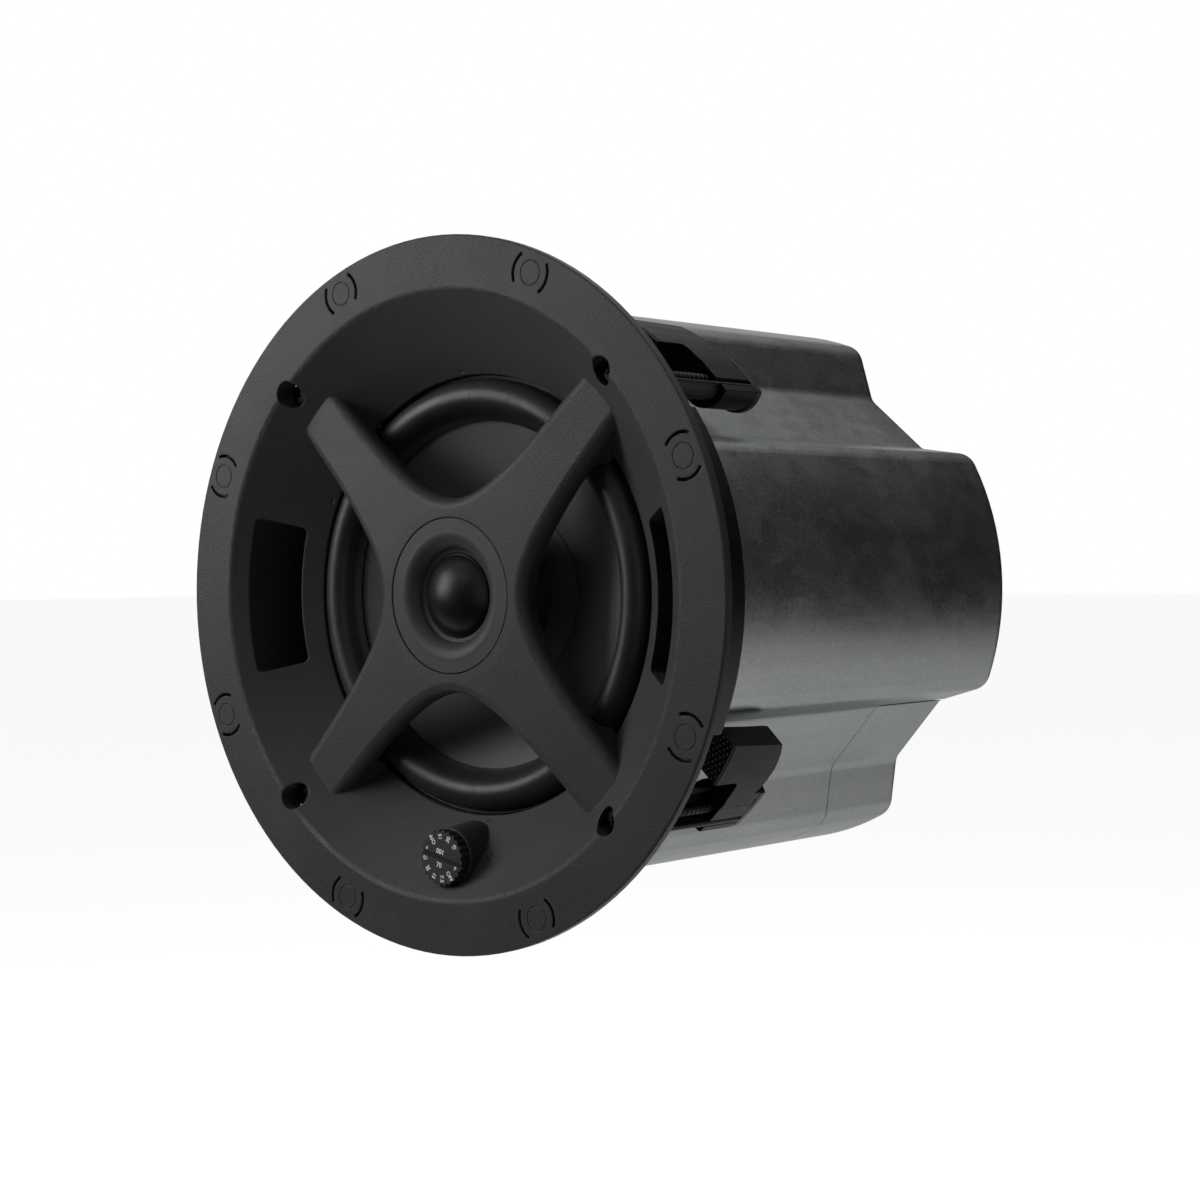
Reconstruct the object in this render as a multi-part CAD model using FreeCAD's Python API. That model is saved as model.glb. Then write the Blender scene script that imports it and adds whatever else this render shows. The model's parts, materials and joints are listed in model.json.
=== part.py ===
import FreeCAD, Part
import math
import os

from FreeCAD import Vector, Rotation, Placement

os.makedirs("parts", exist_ok=True)

# Round in-ceiling loudspeaker with a four-lobed steel back can.
# The frame is the flange's: the origin is the centre of the flange's back face, +Y runs back into
# the ceiling along the speaker's axis, +Z is up as the speaker is shown and the front faces -Y.
# Angles are in degrees from +X towards +Z, so they turn anticlockwise as seen from the front.
# A place on a clamp is given by two lengths from its screw: "out" along the radius, away from the
# axis, and "side" at right angles to it, anticlockwise as seen from the front.

# Clearances
run_gap = 0.06          # radial gap of a shaft in its bearing
seat_gap = 0.3          # gap between pieces that only lie beside each other
slip_gap = 0.2          # gap round a piece that drops into a recess

# The woofer's rim, which everything round it is sized from
basket_radius = 81.2
basket_rim_thick = 1.6
woofer_seat_radius = basket_radius + 1.4
funnel_throat_radius = basket_radius - 4.6
funnel_throat_y = 18.5
woofer_seat_y = funnel_throat_y + 1.8

# Back can: four lobes with a flat-floored valley between each two
valley_floor = woofer_seat_radius + 2.4
valley_depth = 17.0
valley_floor_half = 15.5
valley_flare = 57.0
valley_angle = 49.0
lobe_round = 8.0
valley_round = 6.0
least_round = 1.5
can_radius = valley_floor + valley_depth
can_sheet = 1.2
can_front_y = woofer_seat_y - 3.3
can_depth = 192.0
can_back_y = can_front_y + can_depth
can_rear_round = 8.0
gasket_thick = 1.0
gasket_lap = 0.6
gasket_wide = 1.3
shelf_wall = 3.6
rib_length = 13.0
rib_wall = 2.2

# Cut-out spigot and collar behind the flange
collar_gap = 0.7
collar_room = 2.8
collar_wall = 2.4
collar_length = 28.0
collar_radius = can_radius + collar_room + collar_wall
collar_from_angle = -25.0
collar_to_angle = 35.0
spigot_step = 0.8
spigot_radius = collar_radius + spigot_step
spigot_length = 5.0

# Flange and funnel of the baffle
flange_lap = 14.5
flange_radius = spigot_radius + flange_lap
flange_thick = 3.0
flange_edge_round = 0.7
funnel_mouth_inset = 4.0
funnel_mouth_radius = spigot_radius - funnel_mouth_inset
funnel_mouth_round = 3.0
wall = 2.6
funnel_back_inset = 12.0

# Marks of the grille magnets in the flange
magnet_count = 8
magnet_first_angle = 22.5
magnet_inset = 7.6
magnet_circle_radius = flange_radius - magnet_inset
magnet_radius = 3.8
magnet_gap = 0.1
magnet_thick = 1.2
magnet_pocket_depth = 1.5
hairline_radius = 4.1
hairline_width = 0.25
hairline_depth = 0.25
slot_radius = 7.5
slot_width = 1.1
slot_arc = 82.0

# X-shaped bridge over the woofer
bridge_hub_y = 3.5
bridge_fall = 2.2
bridge_end_y = bridge_hub_y + bridge_fall
bridge_waist = 33.4
bridge_end_inset = 11.3
bridge_end_radius = funnel_mouth_radius - bridge_end_inset
bridge_end_half_angle = 6.5
bridge_edge_round = 3.6
bridge_deep_y = funnel_throat_y - 1.0
bridge_thin = 7.1
bridge_thin_y = bridge_hub_y + bridge_thin
bridge_thin_radius = funnel_throat_radius - 2.6
hub_back_radius = 30.0
hub_depth = 18.5
hub_back_y = bridge_hub_y + hub_depth
hub_wall = 3.0

# Reflex ports
port_inner_radius = woofer_seat_radius + 0.4
port_outer_radius = funnel_mouth_radius - 5.7
port_half_angle = 17.0
port_corner = 2.0
port_wall = 1.5
port_boss_y = woofer_seat_y + 10.7
port_duct_length = 45.0
port_end_y = port_boss_y + port_duct_length

# Tweeter
plate_radius = 26.8
plate_thick = 5.4
throat_radius = 16.1
throat_depth = 4.0
dome_ring_radius = 14.7
dome_radius = 12.7
dome_height = 6.6
dome_wall = 0.5
tweeter_coil_length = 3.5
tweeter_coil_wall = 0.8
tweeter_cup_radius = 18.0
tweeter_cup_depth = 12.0
tweeter_cup_floor = 2.5
tweeter_magnet_thick = 5.0
tweeter_pole_thick = 2.0

# Woofer
gasket_inner = basket_radius - 3.7
basket_wall = 2.0
basket_window_count = 6
basket_spoke = 14.0
surround_outer = basket_radius - 4.0
roll_radius = 6.3
roll_mid_radius = surround_outer - roll_radius - 2.1
surround_inner = roll_mid_radius - roll_radius - 1.4
surround_wall = 0.7
cap_edge_radius = 30.5
cap_edge_y = woofer_seat_y + 16.4
cap_height = 5.0
cap_wall = 0.6
cone_wall = 0.9
former_radius = 17.3
former_wall = 0.3
former_top_y = cap_edge_y + 6.8
former_length = 20.5
former_end_y = former_top_y + former_length
coil_thick = 0.9
coil_length = 11.0
magnet_gap_wall = 0.6
magnet_plate_radius = 42.0
magnet_plate_thick = 6.0
woofer_magnet_radius = 46.0
woofer_magnet_bore = 25.0
woofer_magnet_thick = 16.0
back_plate_thick = 7.0
pole_vent_radius = 5.0
spider_radius = 41.0
spider_y = former_top_y + 3.1
spider_cloth = 0.6
spider_wave = 0.9
basket_floor_y = spider_y + 4.4

# Woofer screws
woofer_screw_count = 6
woofer_screw_first_angle = 34.0
woofer_screw_circle = basket_radius - 2.0
woofer_screw_radius = 1.45
woofer_screw_head_radius = 2.5
woofer_screw_head_thick = 1.8
woofer_screw_bite = 3.0
head_round = 0.6

# Tap selector
selector_inset = 14.6
selector_z = selector_inset - funnel_mouth_radius
knob_radius = 9.6
knob_teeth = 24
knob_tooth_depth = 0.75
knob_face_y = -1.7
knob_thick = 3.4
knob_relief = 0.6
knob_slot_width = 2.2
knob_slot_depth = 1.1
knob_slot_draft = 0.25
knob_front_wall = 1.9
knob_turned = -13.5
boss_front_radius = 9.8
boss_back_radius = 11.2
boss_gap = 0.7
shaft_radius = 3.0
switch_radius = 7.6
switch_seat_y = 16.0
switch_length = 14.0
switch_tag_length = 4.0
switch_tag_count = 6

# Clamps
clamp_count = 4
envelope_step = 1.6
envelope_radius = spigot_radius - envelope_step
clamp_inset = 3.9
clamp_circle = envelope_radius - clamp_inset
clamp_travel = 32.0
screw_radius = 2.0
screw_head_radius = 3.8
screw_head_thick = 2.8
screw_well_radius = 4.75
screw_well_y = 6.0
tower_outer = 6.9
tower_wall = 1.6
tower_foot_radius = 7.4
tower_foot_y = screw_well_y + 6.0
tower_rib = 1.8
tower_end_thick = 2.5
tower_from_angle = 125.0
tower_to_angle = 306.0
nut_radius = 3.3
nut_length = 11.0
core_radius = 4.9
neck_half = 2.5
sleeve_outer = 9.6
sleeve_front_y = tower_foot_y + clamp_travel + 10.0
sleeve_length = 15.0
tower_end_y = sleeve_front_y + sleeve_length + 6.5
screw_tip_y = tower_end_y + 3.0
wing_front_y = sleeve_front_y - 13.5
wing_back_y = sleeve_front_y + 17.5
wing_inner_radius = envelope_radius - 8.4
wing_root_side = 13.5
wing_tip_side = 30.3
wing_tip_chamfer = 3.0
pad_thick = 1.2
pad_inset = 0.6

# Terminal compartment in the rear of the six o'clock lobe
cover_depth = 52.0
cover_front_y = can_back_y - cover_depth
cover_gap = 0.4
cover_line_low_angle = -29.5
cover_line_radius = valley_floor + 3.0
cover_line_high_angle = -142.5
tray_sheet = 1.2
tray_lip = 9.0
deck_drop = -2.0
cover_screw_radius = 1.45
cover_screw_head_radius = 2.8
cover_screw_head_thick = 1.6
cover_screw_length = 6.0
cover_screw_places = (-44.0, 50.0)
gland_radius = 10.0
gland_hole_radius = 6.0
gland_flange = 2.5
gland_length = 8.0
gland_x = -22.0
gland_drop = 25.0
terminal_block_size = (40.0, 16.0, 14.0)
terminal_ways = 4
terminal_x = 6.0
terminal_setback = 16.0
terminal_mouth_wide = 5.2
terminal_mouth_tall = 5.0
terminal_mouth_deep = 6.0
terminal_lip = 2.5
terminal_well_radius = 2.3

# Electrical pieces on the tray, inside the can
part_setback = 4.0
transformer_size = (50.0, 36.0, 36.0)
transformer_x = 34.0
winding_size = (36.0, 44.0)
limb_half = 8.0
yoke = 7.0
board_size = (60.0, 45.0, 1.6)
board_x = -32.0
board_margin = 4.0
standoff = 4.0
standoff_radius = 2.5
choke_radius = 11.0
choke_small_radius = 8.5
choke_bore = 4.0
choke_height = 14.0
choke_places = (-15.0, 14.0)
capacitor_radius = 6.0
capacitor_small_radius = 4.5
capacitor_length = 24.0
capacitor_places = (-27.0, 3.0)
wadding_thick = 10.0
wadding_from_y = 95.0
wadding_length = 53.0
wadding_low_z = 12.0

# Can screws, driven through the valley floors into the baffle's rib
can_screw_y = can_front_y + 6.0
can_screw_radius = 1.45
can_screw_length = 5.5
can_screw_head_radius = 2.8
can_screw_head_thick = 1.6
can_boss_out = basket_radius - 1.6
can_boss_half = 4.5

AXIS = Vector(0, 1, 0)
ORIGIN = Vector(0, 0, 0)
FAR = 400.0


def at_angle(radius, angle, y=0.0):
    """The point at a radius and angle about the speaker's axis."""
    a = math.radians(angle)
    return Vector(radius * math.cos(a), y, radius * math.sin(a))


def turned_by(shape, angle):
    """A copy of the shape turned about the axis, anticlockwise as seen from the front."""
    copy = shape.copy()
    copy.rotate(ORIGIN, Vector(0, -1, 0), angle)
    return copy


def rod(radius, y0, y1, x=0.0, z=0.0):
    """A cylinder along Y between two depths."""
    return Part.makeCylinder(radius, y1 - y0, Vector(x, y0, z), AXIS)


def ring(inner, outer, y0, y1, x=0.0, z=0.0):
    """A tube along Y between two depths."""
    return rod(outer, y0, y1, x, z).cut(rod(inner, y0 - 1, y1 + 1, x, z))


def frustum(r0, r1, y0, y1, x=0.0, z=0.0):
    """A cone's stump along Y."""
    return Part.makeCone(r0, r1, y1 - y0, Vector(x, y0, z), AXIS)


def box(x0, x1, y0, y1, z0, z1):
    """A box between two corners."""
    return Part.makeBox(x1 - x0, y1 - y0, z1 - z0, Vector(x0, y0, z0))


def turned(outline):
    """Revolves an outline about the axis. A point is (radius, y); a pair of points is an arc
    that runs through the first to the second."""
    edges = []
    here = outline[0]
    steps = list(outline[1:]) + [outline[0]]
    for step in steps:
        start = Vector(here[0], here[1], 0)
        if isinstance(step[0], tuple):
            through = Vector(step[0][0], step[0][1], 0)
            here = step[1]
            edges.append(Part.Arc(start, through, Vector(here[0], here[1], 0)).toShape())
        else:
            here = step
            end = Vector(here[0], here[1], 0)
            if start.distanceToPoint(end) > 1e-6:
                edges.append(Part.makeLine(start, end))
    face = Part.Face(Part.Wire(edges))
    return face.revolve(ORIGIN, AXIS, 360)


def sector(inner, outer, from_angle, to_angle, y0, y1):
    """Part of a tube between two angles."""
    middle = (from_angle + to_angle) / 2
    edges = [
        Part.Arc(at_angle(outer, from_angle), at_angle(outer, middle), at_angle(outer, to_angle)).toShape(),
        Part.makeLine(at_angle(outer, to_angle), at_angle(inner, to_angle)),
        Part.Arc(at_angle(inner, to_angle), at_angle(inner, middle), at_angle(inner, from_angle)).toShape(),
        Part.makeLine(at_angle(inner, from_angle), at_angle(outer, from_angle)),
    ]
    solid = Part.Face(Part.Wire(edges)).extrude(Vector(0, y1 - y0, 0))
    solid.translate(Vector(0, y0, 0))
    return solid


def along_y(solid):
    """The straight edges of a prism that run along Y."""
    found = []
    for edge in solid.Edges:
        a = edge.Vertexes[0].Point
        b = edge.Vertexes[-1].Point
        if abs(a.x - b.x) + abs(a.z - b.z) < 1e-6 and abs(a.y - b.y) > 1e-6:
            found.append(edge)
    return found


def edges_at_y(solid, y):
    """The edges that lie wholly at one depth."""
    return [e for e in solid.Edges if abs(e.BoundBox.YMin - y) < 1e-4 and abs(e.BoundBox.YMax - y) < 1e-4]


def union(shapes):
    """One shape made of overlapping shapes."""
    whole = shapes[0].fuse(shapes[1:]) if len(shapes) > 1 else shapes[0]
    return whole.removeSplitter()


def single(shape):
    """The one solid of a shape."""
    solids = shape.Solids
    assert len(solids) == 1, len(solids)
    return solids[0]


# The can's section

def lobed_prism(offset, y0, y1, rear_round=0.0):
    """The can's four-lobed section, moved outward by an offset, between two depths."""
    radius = can_radius + offset
    floor = valley_floor + offset
    flare = math.radians(valley_flare)
    half = valley_floor_half - offset * (1 - math.sin(flare)) / math.cos(flare)
    # the valley's wall runs from (floor, half) until it meets the lobes' circle
    along = floor * math.cos(flare) + half * math.sin(flare)
    reach = -along + math.sqrt(along * along + radius * radius - floor * floor - half * half)
    rim_out = floor + reach * math.cos(flare)
    rim_side = half + reach * math.sin(flare)
    rim_angle = math.degrees(math.atan2(rim_side, rim_out))

    def valley_point(index, out, side):
        angle = valley_angle + 90 * index + math.degrees(math.atan2(side, out))
        return at_angle(math.hypot(out, side), angle)

    edges = []
    for index in range(4):
        corners = [
            valley_point(index, rim_out, -rim_side),
            valley_point(index, floor, -half),
            valley_point(index, floor, half),
            valley_point(index, rim_out, rim_side),
        ]
        for a, b in zip(corners, corners[1:]):
            edges.append(Part.makeLine(a, b))
        next_rim = valley_point(index + 1, rim_out, -rim_side)
        crest = at_angle(radius, valley_angle + 90 * index + 45)
        edges.append(Part.Arc(corners[3], crest, next_rim).toShape())
    solid = Part.Face(Part.Wire(edges)).extrude(Vector(0, y1 - y0, 0))
    solid.translate(Vector(0, y0, 0))
    outer_edges = [e for e in along_y(solid) if math.hypot(e.CenterOfMass.x, e.CenterOfMass.z) > radius - 1]
    inner_edges = [e for e in along_y(solid) if math.hypot(e.CenterOfMass.x, e.CenterOfMass.z) < radius - 1]
    solid = solid.makeFillet(max(lobe_round + offset, least_round), outer_edges)
    inner_edges = [e for e in along_y(solid) if math.hypot(e.CenterOfMass.x, e.CenterOfMass.z) < floor + 6
                   and abs(abs(math.sin(math.radians(2 * (math.degrees(math.atan2(
                       e.CenterOfMass.z, e.CenterOfMass.x)) - valley_angle)))) - math.sin(
                       2 * math.atan2(half, floor))) < 0.02]
    solid = solid.makeFillet(max(valley_round - offset, least_round), inner_edges)
    if rear_round > 0:
        solid = solid.makeFillet(rear_round, edges_at_y(solid, y1))
    return solid


# Bridge

def bridge_outline_point(index, t):
    """A point of one concave side of the bridge, a hyperbola from arm end to arm end, t from -1 to 1."""
    end = at_angle(bridge_end_radius, 45 - bridge_end_half_angle)
    centre = (end.x ** 2 - end.z ** 2 - bridge_waist ** 2) / (2 * (end.x - bridge_waist))
    size = bridge_waist - centre
    grow = math.asinh(end.z / size) * t
    x = centre + size * math.cosh(grow)
    z = size * math.sinh(grow)
    angle = 90 * index
    return at_angle(math.hypot(x, z), math.degrees(math.atan2(z, x)) + angle)


def bridge_prism(y0, y1):
    """The X-shaped outline between two depths."""
    edges = []
    for index in range(4):
        points = [bridge_outline_point(index, step / 4.0) for step in range(-4, 5)]
        side = Part.BSplineCurve()
        side.interpolate(points)
        edges.append(side.toShape())
        start = points[-1]
        end = bridge_outline_point(index + 1, -1)
        tip = at_angle(bridge_end_radius + 0.4, 45 + 90 * index)
        edges.append(Part.Arc(start, tip, end).toShape())
    solid = Part.Face(Part.Wire(edges)).extrude(Vector(0, y1 - y0, 0))
    solid.translate(Vector(0, y0, 0))
    return solid


def make_bridge():
    """The bridge: a shallow cone in front, arched behind to clear the surround, with rounded edges."""
    blank = bridge_prism(bridge_hub_y - 1, bridge_deep_y)
    front_slope = (bridge_end_y - bridge_hub_y) / (bridge_end_radius - plate_radius)
    reach = bridge_end_radius + 8
    front = turned([
        (0, bridge_hub_y),
        (plate_radius + 4, bridge_hub_y),
        (reach, bridge_hub_y + front_slope * (reach - plate_radius - 4)),
        (reach, bridge_deep_y + 5),
        (0, bridge_deep_y + 5),
    ])
    bridge = blank.common(front)
    front_edges = [e for e in bridge.Edges if e.BoundBox.YMax < bridge_end_y + 0.3
                   and math.hypot(e.CenterOfMass.x, e.CenterOfMass.z) < bridge_end_radius - 6
                   and e.Length > 20]
    bridge = bridge.makeFillet(bridge_edge_round, front_edges)
    arch = turned([
        (hub_back_radius, bridge_thin_y),
        (bridge_thin_radius - 4, bridge_thin_y),
        ((bridge_thin_radius - 1.2, bridge_thin_y + 1.2), (bridge_thin_radius, bridge_thin_y + 4)),
        (bridge_thin_radius, bridge_deep_y + 2),
        (hub_back_radius, bridge_deep_y + 2),
    ])
    return bridge.cut(arch)


# Screw holes that several pieces share

def woofer_screw_places():
    step = 360.0 / woofer_screw_count
    angles = [woofer_screw_first_angle + step * index for index in range(woofer_screw_count)]
    return [at_angle(woofer_screw_circle, angle) for angle in angles]


def woofer_screw_holes(y0, y1):
    radius = woofer_screw_radius + run_gap
    return Part.makeCompound([rod(radius, y0, y1, place.x, place.z) for place in woofer_screw_places()])


def can_screw_holes(radius):
    holes = []
    for index in range(4):
        hole = Part.makeCylinder(radius, 16, Vector(valley_floor - 8, can_screw_y, 0), Vector(1, 0, 0))
        holes.append(turned_by(hole, valley_angle + 90 * index))
    return Part.makeCompound(holes)


def rim_flats(y0, y1):
    """What the woofer's rim leaves free for the can's four screw bosses."""
    flats = []
    for index in range(4):
        flat = box(can_boss_out - seat_gap, valley_floor, y0, y1, -FAR / 10, FAR / 10)
        flats.append(turned_by(flat, valley_angle + 90 * index))
    return Part.makeCompound(flats)


# Baffle

def funnel_y(radius):
    """Depth of the funnel's front face at a radius."""
    slope = (funnel_throat_y + flange_thick) / (funnel_mouth_radius - funnel_throat_radius)
    return (funnel_mouth_radius - radius) * slope - flange_thick


def make_dish():
    """Flange, funnel, woofer seat and spigot, turned in one piece."""
    slope = (funnel_throat_y + flange_thick) / (funnel_mouth_radius - funnel_throat_radius)
    axial = wall * math.sqrt(1 + slope * slope)
    r = funnel_mouth_round
    cone_angle = math.atan(slope)
    tangent = r * math.tan(cone_angle / 2)
    inner_start = (funnel_mouth_radius - tangent * math.cos(cone_angle),
                   -flange_thick + tangent * math.sin(cone_angle))
    flat_end = (funnel_mouth_radius + tangent, -flange_thick)
    middle_drop = r * (1 - math.cos(cone_angle / 2))
    middle = (flat_end[0] - r * math.sin(cone_angle / 2), -flange_thick + middle_drop)
    e = flange_edge_round
    edge_mid = (flange_radius - e * (1 - math.sqrt(0.5)), -flange_thick + e * (1 - math.sqrt(0.5)))
    base_radius = spigot_radius - funnel_back_inset
    return turned([
        inner_start,
        (middle, flat_end),
        (flange_radius - e, -flange_thick),
        (edge_mid, (flange_radius, -flange_thick + e)),
        (flange_radius, 0),
        (spigot_radius, 0),
        (spigot_radius, spigot_length),
        (base_radius, spigot_length),
        (base_radius, funnel_y(base_radius) + axial),
        (woofer_seat_radius, funnel_y(woofer_seat_radius) + axial),
        (woofer_seat_radius, woofer_seat_y),
        (funnel_throat_radius, woofer_seat_y),
        (funnel_throat_radius, funnel_throat_y),
    ])


def front_space(depth):
    """The room in front of a surface that lies a depth behind the funnel's face."""
    return turned([
        (0, -flange_thick - 5),
        (funnel_mouth_radius + 5, -flange_thick - 5),
        (funnel_mouth_radius, -flange_thick + depth),
        (funnel_throat_radius, funnel_throat_y + depth),
        (0, funnel_throat_y + depth),
    ])


def make_shelf():
    """The lobed wall behind the funnel that the can's edge and its rib stand on."""
    shelf_y = can_front_y - gasket_thick
    shelf = lobed_prism(1.2, 2.0, shelf_y).cut(lobed_prism(1.2 - shelf_wall, 1.0, shelf_y + 1))
    rib_off = -can_sheet - seat_gap
    rib = lobed_prism(rib_off, shelf_y - 3, shelf_y + rib_length)
    rib = rib.cut(lobed_prism(rib_off - rib_wall, shelf_y - 4, shelf_y + rib_length + 1))
    woofer_room = rod(woofer_seat_radius, woofer_seat_y - 2, shelf_y + rib_length + 2)
    ring_wall = shelf.fuse(rib).cut(woofer_room)
    bosses = []
    for index in range(4):
        boss = box(can_boss_out, valley_floor + rib_off, woofer_seat_y - 2, can_screw_y + can_boss_half,
                   -can_boss_half, can_boss_half)
        bosses.append(turned_by(boss, valley_angle + 90 * index))
    return ring_wall.fuse(bosses).cut(front_space(wall))


def make_collar():
    """Four stretches of collar round the lobes, left open where the clamps stand."""
    stretches = []
    for index in range(4):
        turn = 90 * index
        stretch = sector(collar_radius - collar_wall, collar_radius, collar_from_angle + turn,
                         collar_to_angle + turn, 1.0, collar_length)
        stretches.append(stretch)
        end_thick = math.degrees(collar_wall / collar_radius)
        for angle, way in ((collar_from_angle, 1), (collar_to_angle, -1)):
            a = angle + turn
            b = a + way * end_thick
            stretches.append(sector(can_radius + collar_gap, collar_radius, min(a, b), max(a, b),
                                    1.0, collar_length))
    return stretches


def port_prism(grow, y0, y1, angle):
    """The port's section, a rounded piece of a ring, grown by a wall."""
    half = port_half_angle + math.degrees(grow / port_inner_radius)
    solid = sector(port_inner_radius - grow, port_outer_radius + grow, -half, half, y0, y1)
    solid = solid.makeFillet(port_corner + grow, along_y(solid))
    return turned_by(solid, angle)


def tower_frame(solid, index):
    """Moves a clamp piece from its own frame, X out and Z side, to its place on the baffle."""
    placed = solid.copy()
    placed.translate(Vector(clamp_circle, 0, 0))
    return turned_by(placed, 45 + 90 * index)


def envelope(y0, y1):
    """The cylinder that folded clamps and towers keep inside, in a clamp's own frame."""
    return rod(envelope_radius, y0, y1, x=-clamp_circle)


def around_screw(inner, outer, from_angle, to_angle, y0, y1):
    """Part of a tube about a clamp's screw, angles from straight out towards the side."""
    return sector(inner, outer, from_angle, to_angle, y0, y1)


def make_tower():
    """One clamp tower in its own frame: foot with the screw's well, open channel and end plate."""
    foot = rod(tower_foot_radius, 0.5, tower_foot_y)
    channel = around_screw(tower_outer - tower_wall, tower_outer, tower_from_angle, tower_to_angle,
                           tower_foot_y - 1, tower_end_y)
    plate = rod(sleeve_outer, tower_end_y - tower_end_thick, tower_end_y, x=-1.0)
    root_in = -(clamp_circle - valley_floor - 0.2)
    web = box(root_in, -tower_outer + tower_wall / 2, 2.0, can_front_y - 2, -tower_rib / 2, tower_rib / 2)
    gusset_y = tower_foot_y - 2
    gusset_l = box(root_in, -2.0, 2.0, gusset_y, -tower_foot_radius, -tower_foot_radius + tower_rib)
    gusset_r = box(root_in, -2.0, 2.0, gusset_y, tower_foot_radius - tower_rib, tower_foot_radius)
    solid = union([foot, channel, plate, web, gusset_l, gusset_r])
    return solid.common(envelope(-1, tower_end_y + 1))


def make_knob_boss():
    """The boss that carries the tap selector and its shaft."""
    front_y = knob_face_y + knob_thick + boss_gap
    cone = frustum(boss_front_radius, boss_back_radius, front_y, switch_seat_y, z=selector_z)
    rim_edge = edges_at_y(cone, front_y)
    return cone.makeFillet(0.6, rim_edge)


def make_hub_socket():
    """The wall behind the bridge's hub that holds the tweeter."""
    outer = frustum(hub_back_radius + 1.2, hub_back_radius, bridge_thin_y - 1.5, hub_back_y)
    return outer


def make_baffle():
    dish = make_dish()
    pieces = [dish, make_shelf(), make_knob_boss(), make_hub_socket()] + make_collar()
    bridge = make_bridge()
    behind_funnel = turned([
        (0, -flange_thick - 2),
        (bridge_end_radius + 6, -flange_thick - 2),
        (bridge_end_radius + 6, funnel_y(bridge_end_radius + 6) + 1.4),
        (funnel_throat_radius + 1.4, funnel_throat_y + 0.4),
        (funnel_throat_radius + 1.4, woofer_seat_y - 1.0),
        (0, woofer_seat_y - 1.0),
    ])
    pieces.append(bridge.common(behind_funnel))
    for angle in (0, 180):
        pieces.append(port_prism(port_wall, 2.0, port_boss_y, angle).cut(front_space(wall)))
    tower = make_tower()
    for index in range(clamp_count):
        pieces.append(tower_frame(tower, index).cut(front_space(wall)))
    baffle = union(pieces)

    cuts = []
    for angle in (0, 180):
        cuts.append(port_prism(0, -flange_thick - 1, port_boss_y + 1, angle))
    well = rod(screw_well_radius, -flange_thick - 1, screw_well_y)
    passage = rod(screw_radius + run_gap, screw_well_y - 1, tower_end_y + 2)
    for index in range(clamp_count):
        cuts.append(tower_frame(well, index))
        cuts.append(tower_frame(passage, index))
    cuts.append(rod(plate_radius + slip_gap, bridge_hub_y - 1, bridge_hub_y + plate_thick))
    cuts.append(rod(hub_back_radius - hub_wall, bridge_hub_y + plate_thick - 0.1, hub_back_y + 1))
    cuts.append(rod(shaft_radius + run_gap, knob_face_y, switch_seat_y + 1, z=selector_z))
    cuts.append(rod(switch_radius + slip_gap, switch_seat_y, switch_seat_y + 20, z=selector_z))
    slot_half = slot_arc / 2
    for index in range(magnet_count):
        angle = magnet_first_angle + 360.0 / magnet_count * index
        centre = at_angle(magnet_circle_radius, angle)
        cuts.append(rod(magnet_radius + magnet_gap, -magnet_pocket_depth, 1, centre.x, centre.z))
        hairline = ring(hairline_radius - hairline_width / 2, hairline_radius + hairline_width / 2,
                        -flange_thick - 1, -flange_thick + hairline_depth, centre.x, centre.z)
        cuts.append(hairline)
        for way in (90, 270):
            slot = sector(slot_radius - slot_width / 2, slot_radius + slot_width / 2,
                          angle + way - slot_half, angle + way + slot_half, -flange_thick - 1, 1)
            slot.translate(Vector(centre.x, 0, centre.z))
            cuts.append(slot)
    cuts.append(rod(knob_radius + knob_relief, -flange_thick - 5, knob_face_y + knob_thick + boss_gap,
                    z=selector_z))
    cuts.append(woofer_screw_holes(woofer_seat_y - woofer_screw_bite, woofer_seat_y + 1))
    cuts.append(can_screw_holes(can_screw_radius + run_gap))
    return single(baffle.cut(Part.makeCompound(cuts)).removeSplitter())


# Grille magnets

def make_grille_magnets():
    discs = []
    for index in range(magnet_count):
        centre = at_angle(magnet_circle_radius, magnet_first_angle + 360.0 / magnet_count * index)
        discs.append(rod(magnet_radius, -magnet_pocket_depth, -magnet_pocket_depth + magnet_thick,
                         centre.x, centre.z))
    return Part.makeCompound(discs)


# Tweeter

tweeter_back_y = bridge_hub_y + plate_thick


def make_tweeter_plate():
    """The waveguide: a flat rim that sweeps down to the throat."""
    throat_y = bridge_hub_y + throat_depth
    return turned([
        (dome_ring_radius, throat_y + 0.7),
        (throat_radius, throat_y),
        ((throat_radius + 2.2, bridge_hub_y + 1.2), (throat_radius + 6.5, bridge_hub_y + 0.1)),
        (plate_radius - 0.3, bridge_hub_y + 0.1),
        (plate_radius, bridge_hub_y + 0.4),
        (plate_radius, tweeter_back_y),
        (dome_ring_radius, tweeter_back_y),
    ])


def make_tweeter_dome():
    """The silk dome, a spherical cap with the roll of its surround outside."""
    base_y = tweeter_back_y - 0.9
    apex_y = base_y - dome_height
    big = (dome_radius ** 2 + dome_height ** 2) / (2 * dome_height)
    centre_y = apex_y + big
    side = dome_radius * 0.6
    side_y = centre_y - math.sqrt(big ** 2 - side ** 2)
    small = big - dome_wall
    low = dome_radius - dome_wall
    low_y = centre_y - math.sqrt(small ** 2 - low ** 2)
    half_y = centre_y - math.sqrt(small ** 2 - (low * 0.6) ** 2)
    roll = (dome_ring_radius - 0.4 - dome_radius) / 2
    mid = dome_radius + roll
    return turned([
        (0, apex_y),
        ((side, side_y), (dome_radius, base_y)),
        ((mid, base_y - roll), (dome_radius + 2 * roll, base_y)),
        (dome_radius + 2 * roll, base_y + 0.5),
        (low, base_y + 0.5),
        (low, low_y),
        ((low * 0.6, half_y), (0, apex_y + dome_wall)),
    ])


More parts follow.
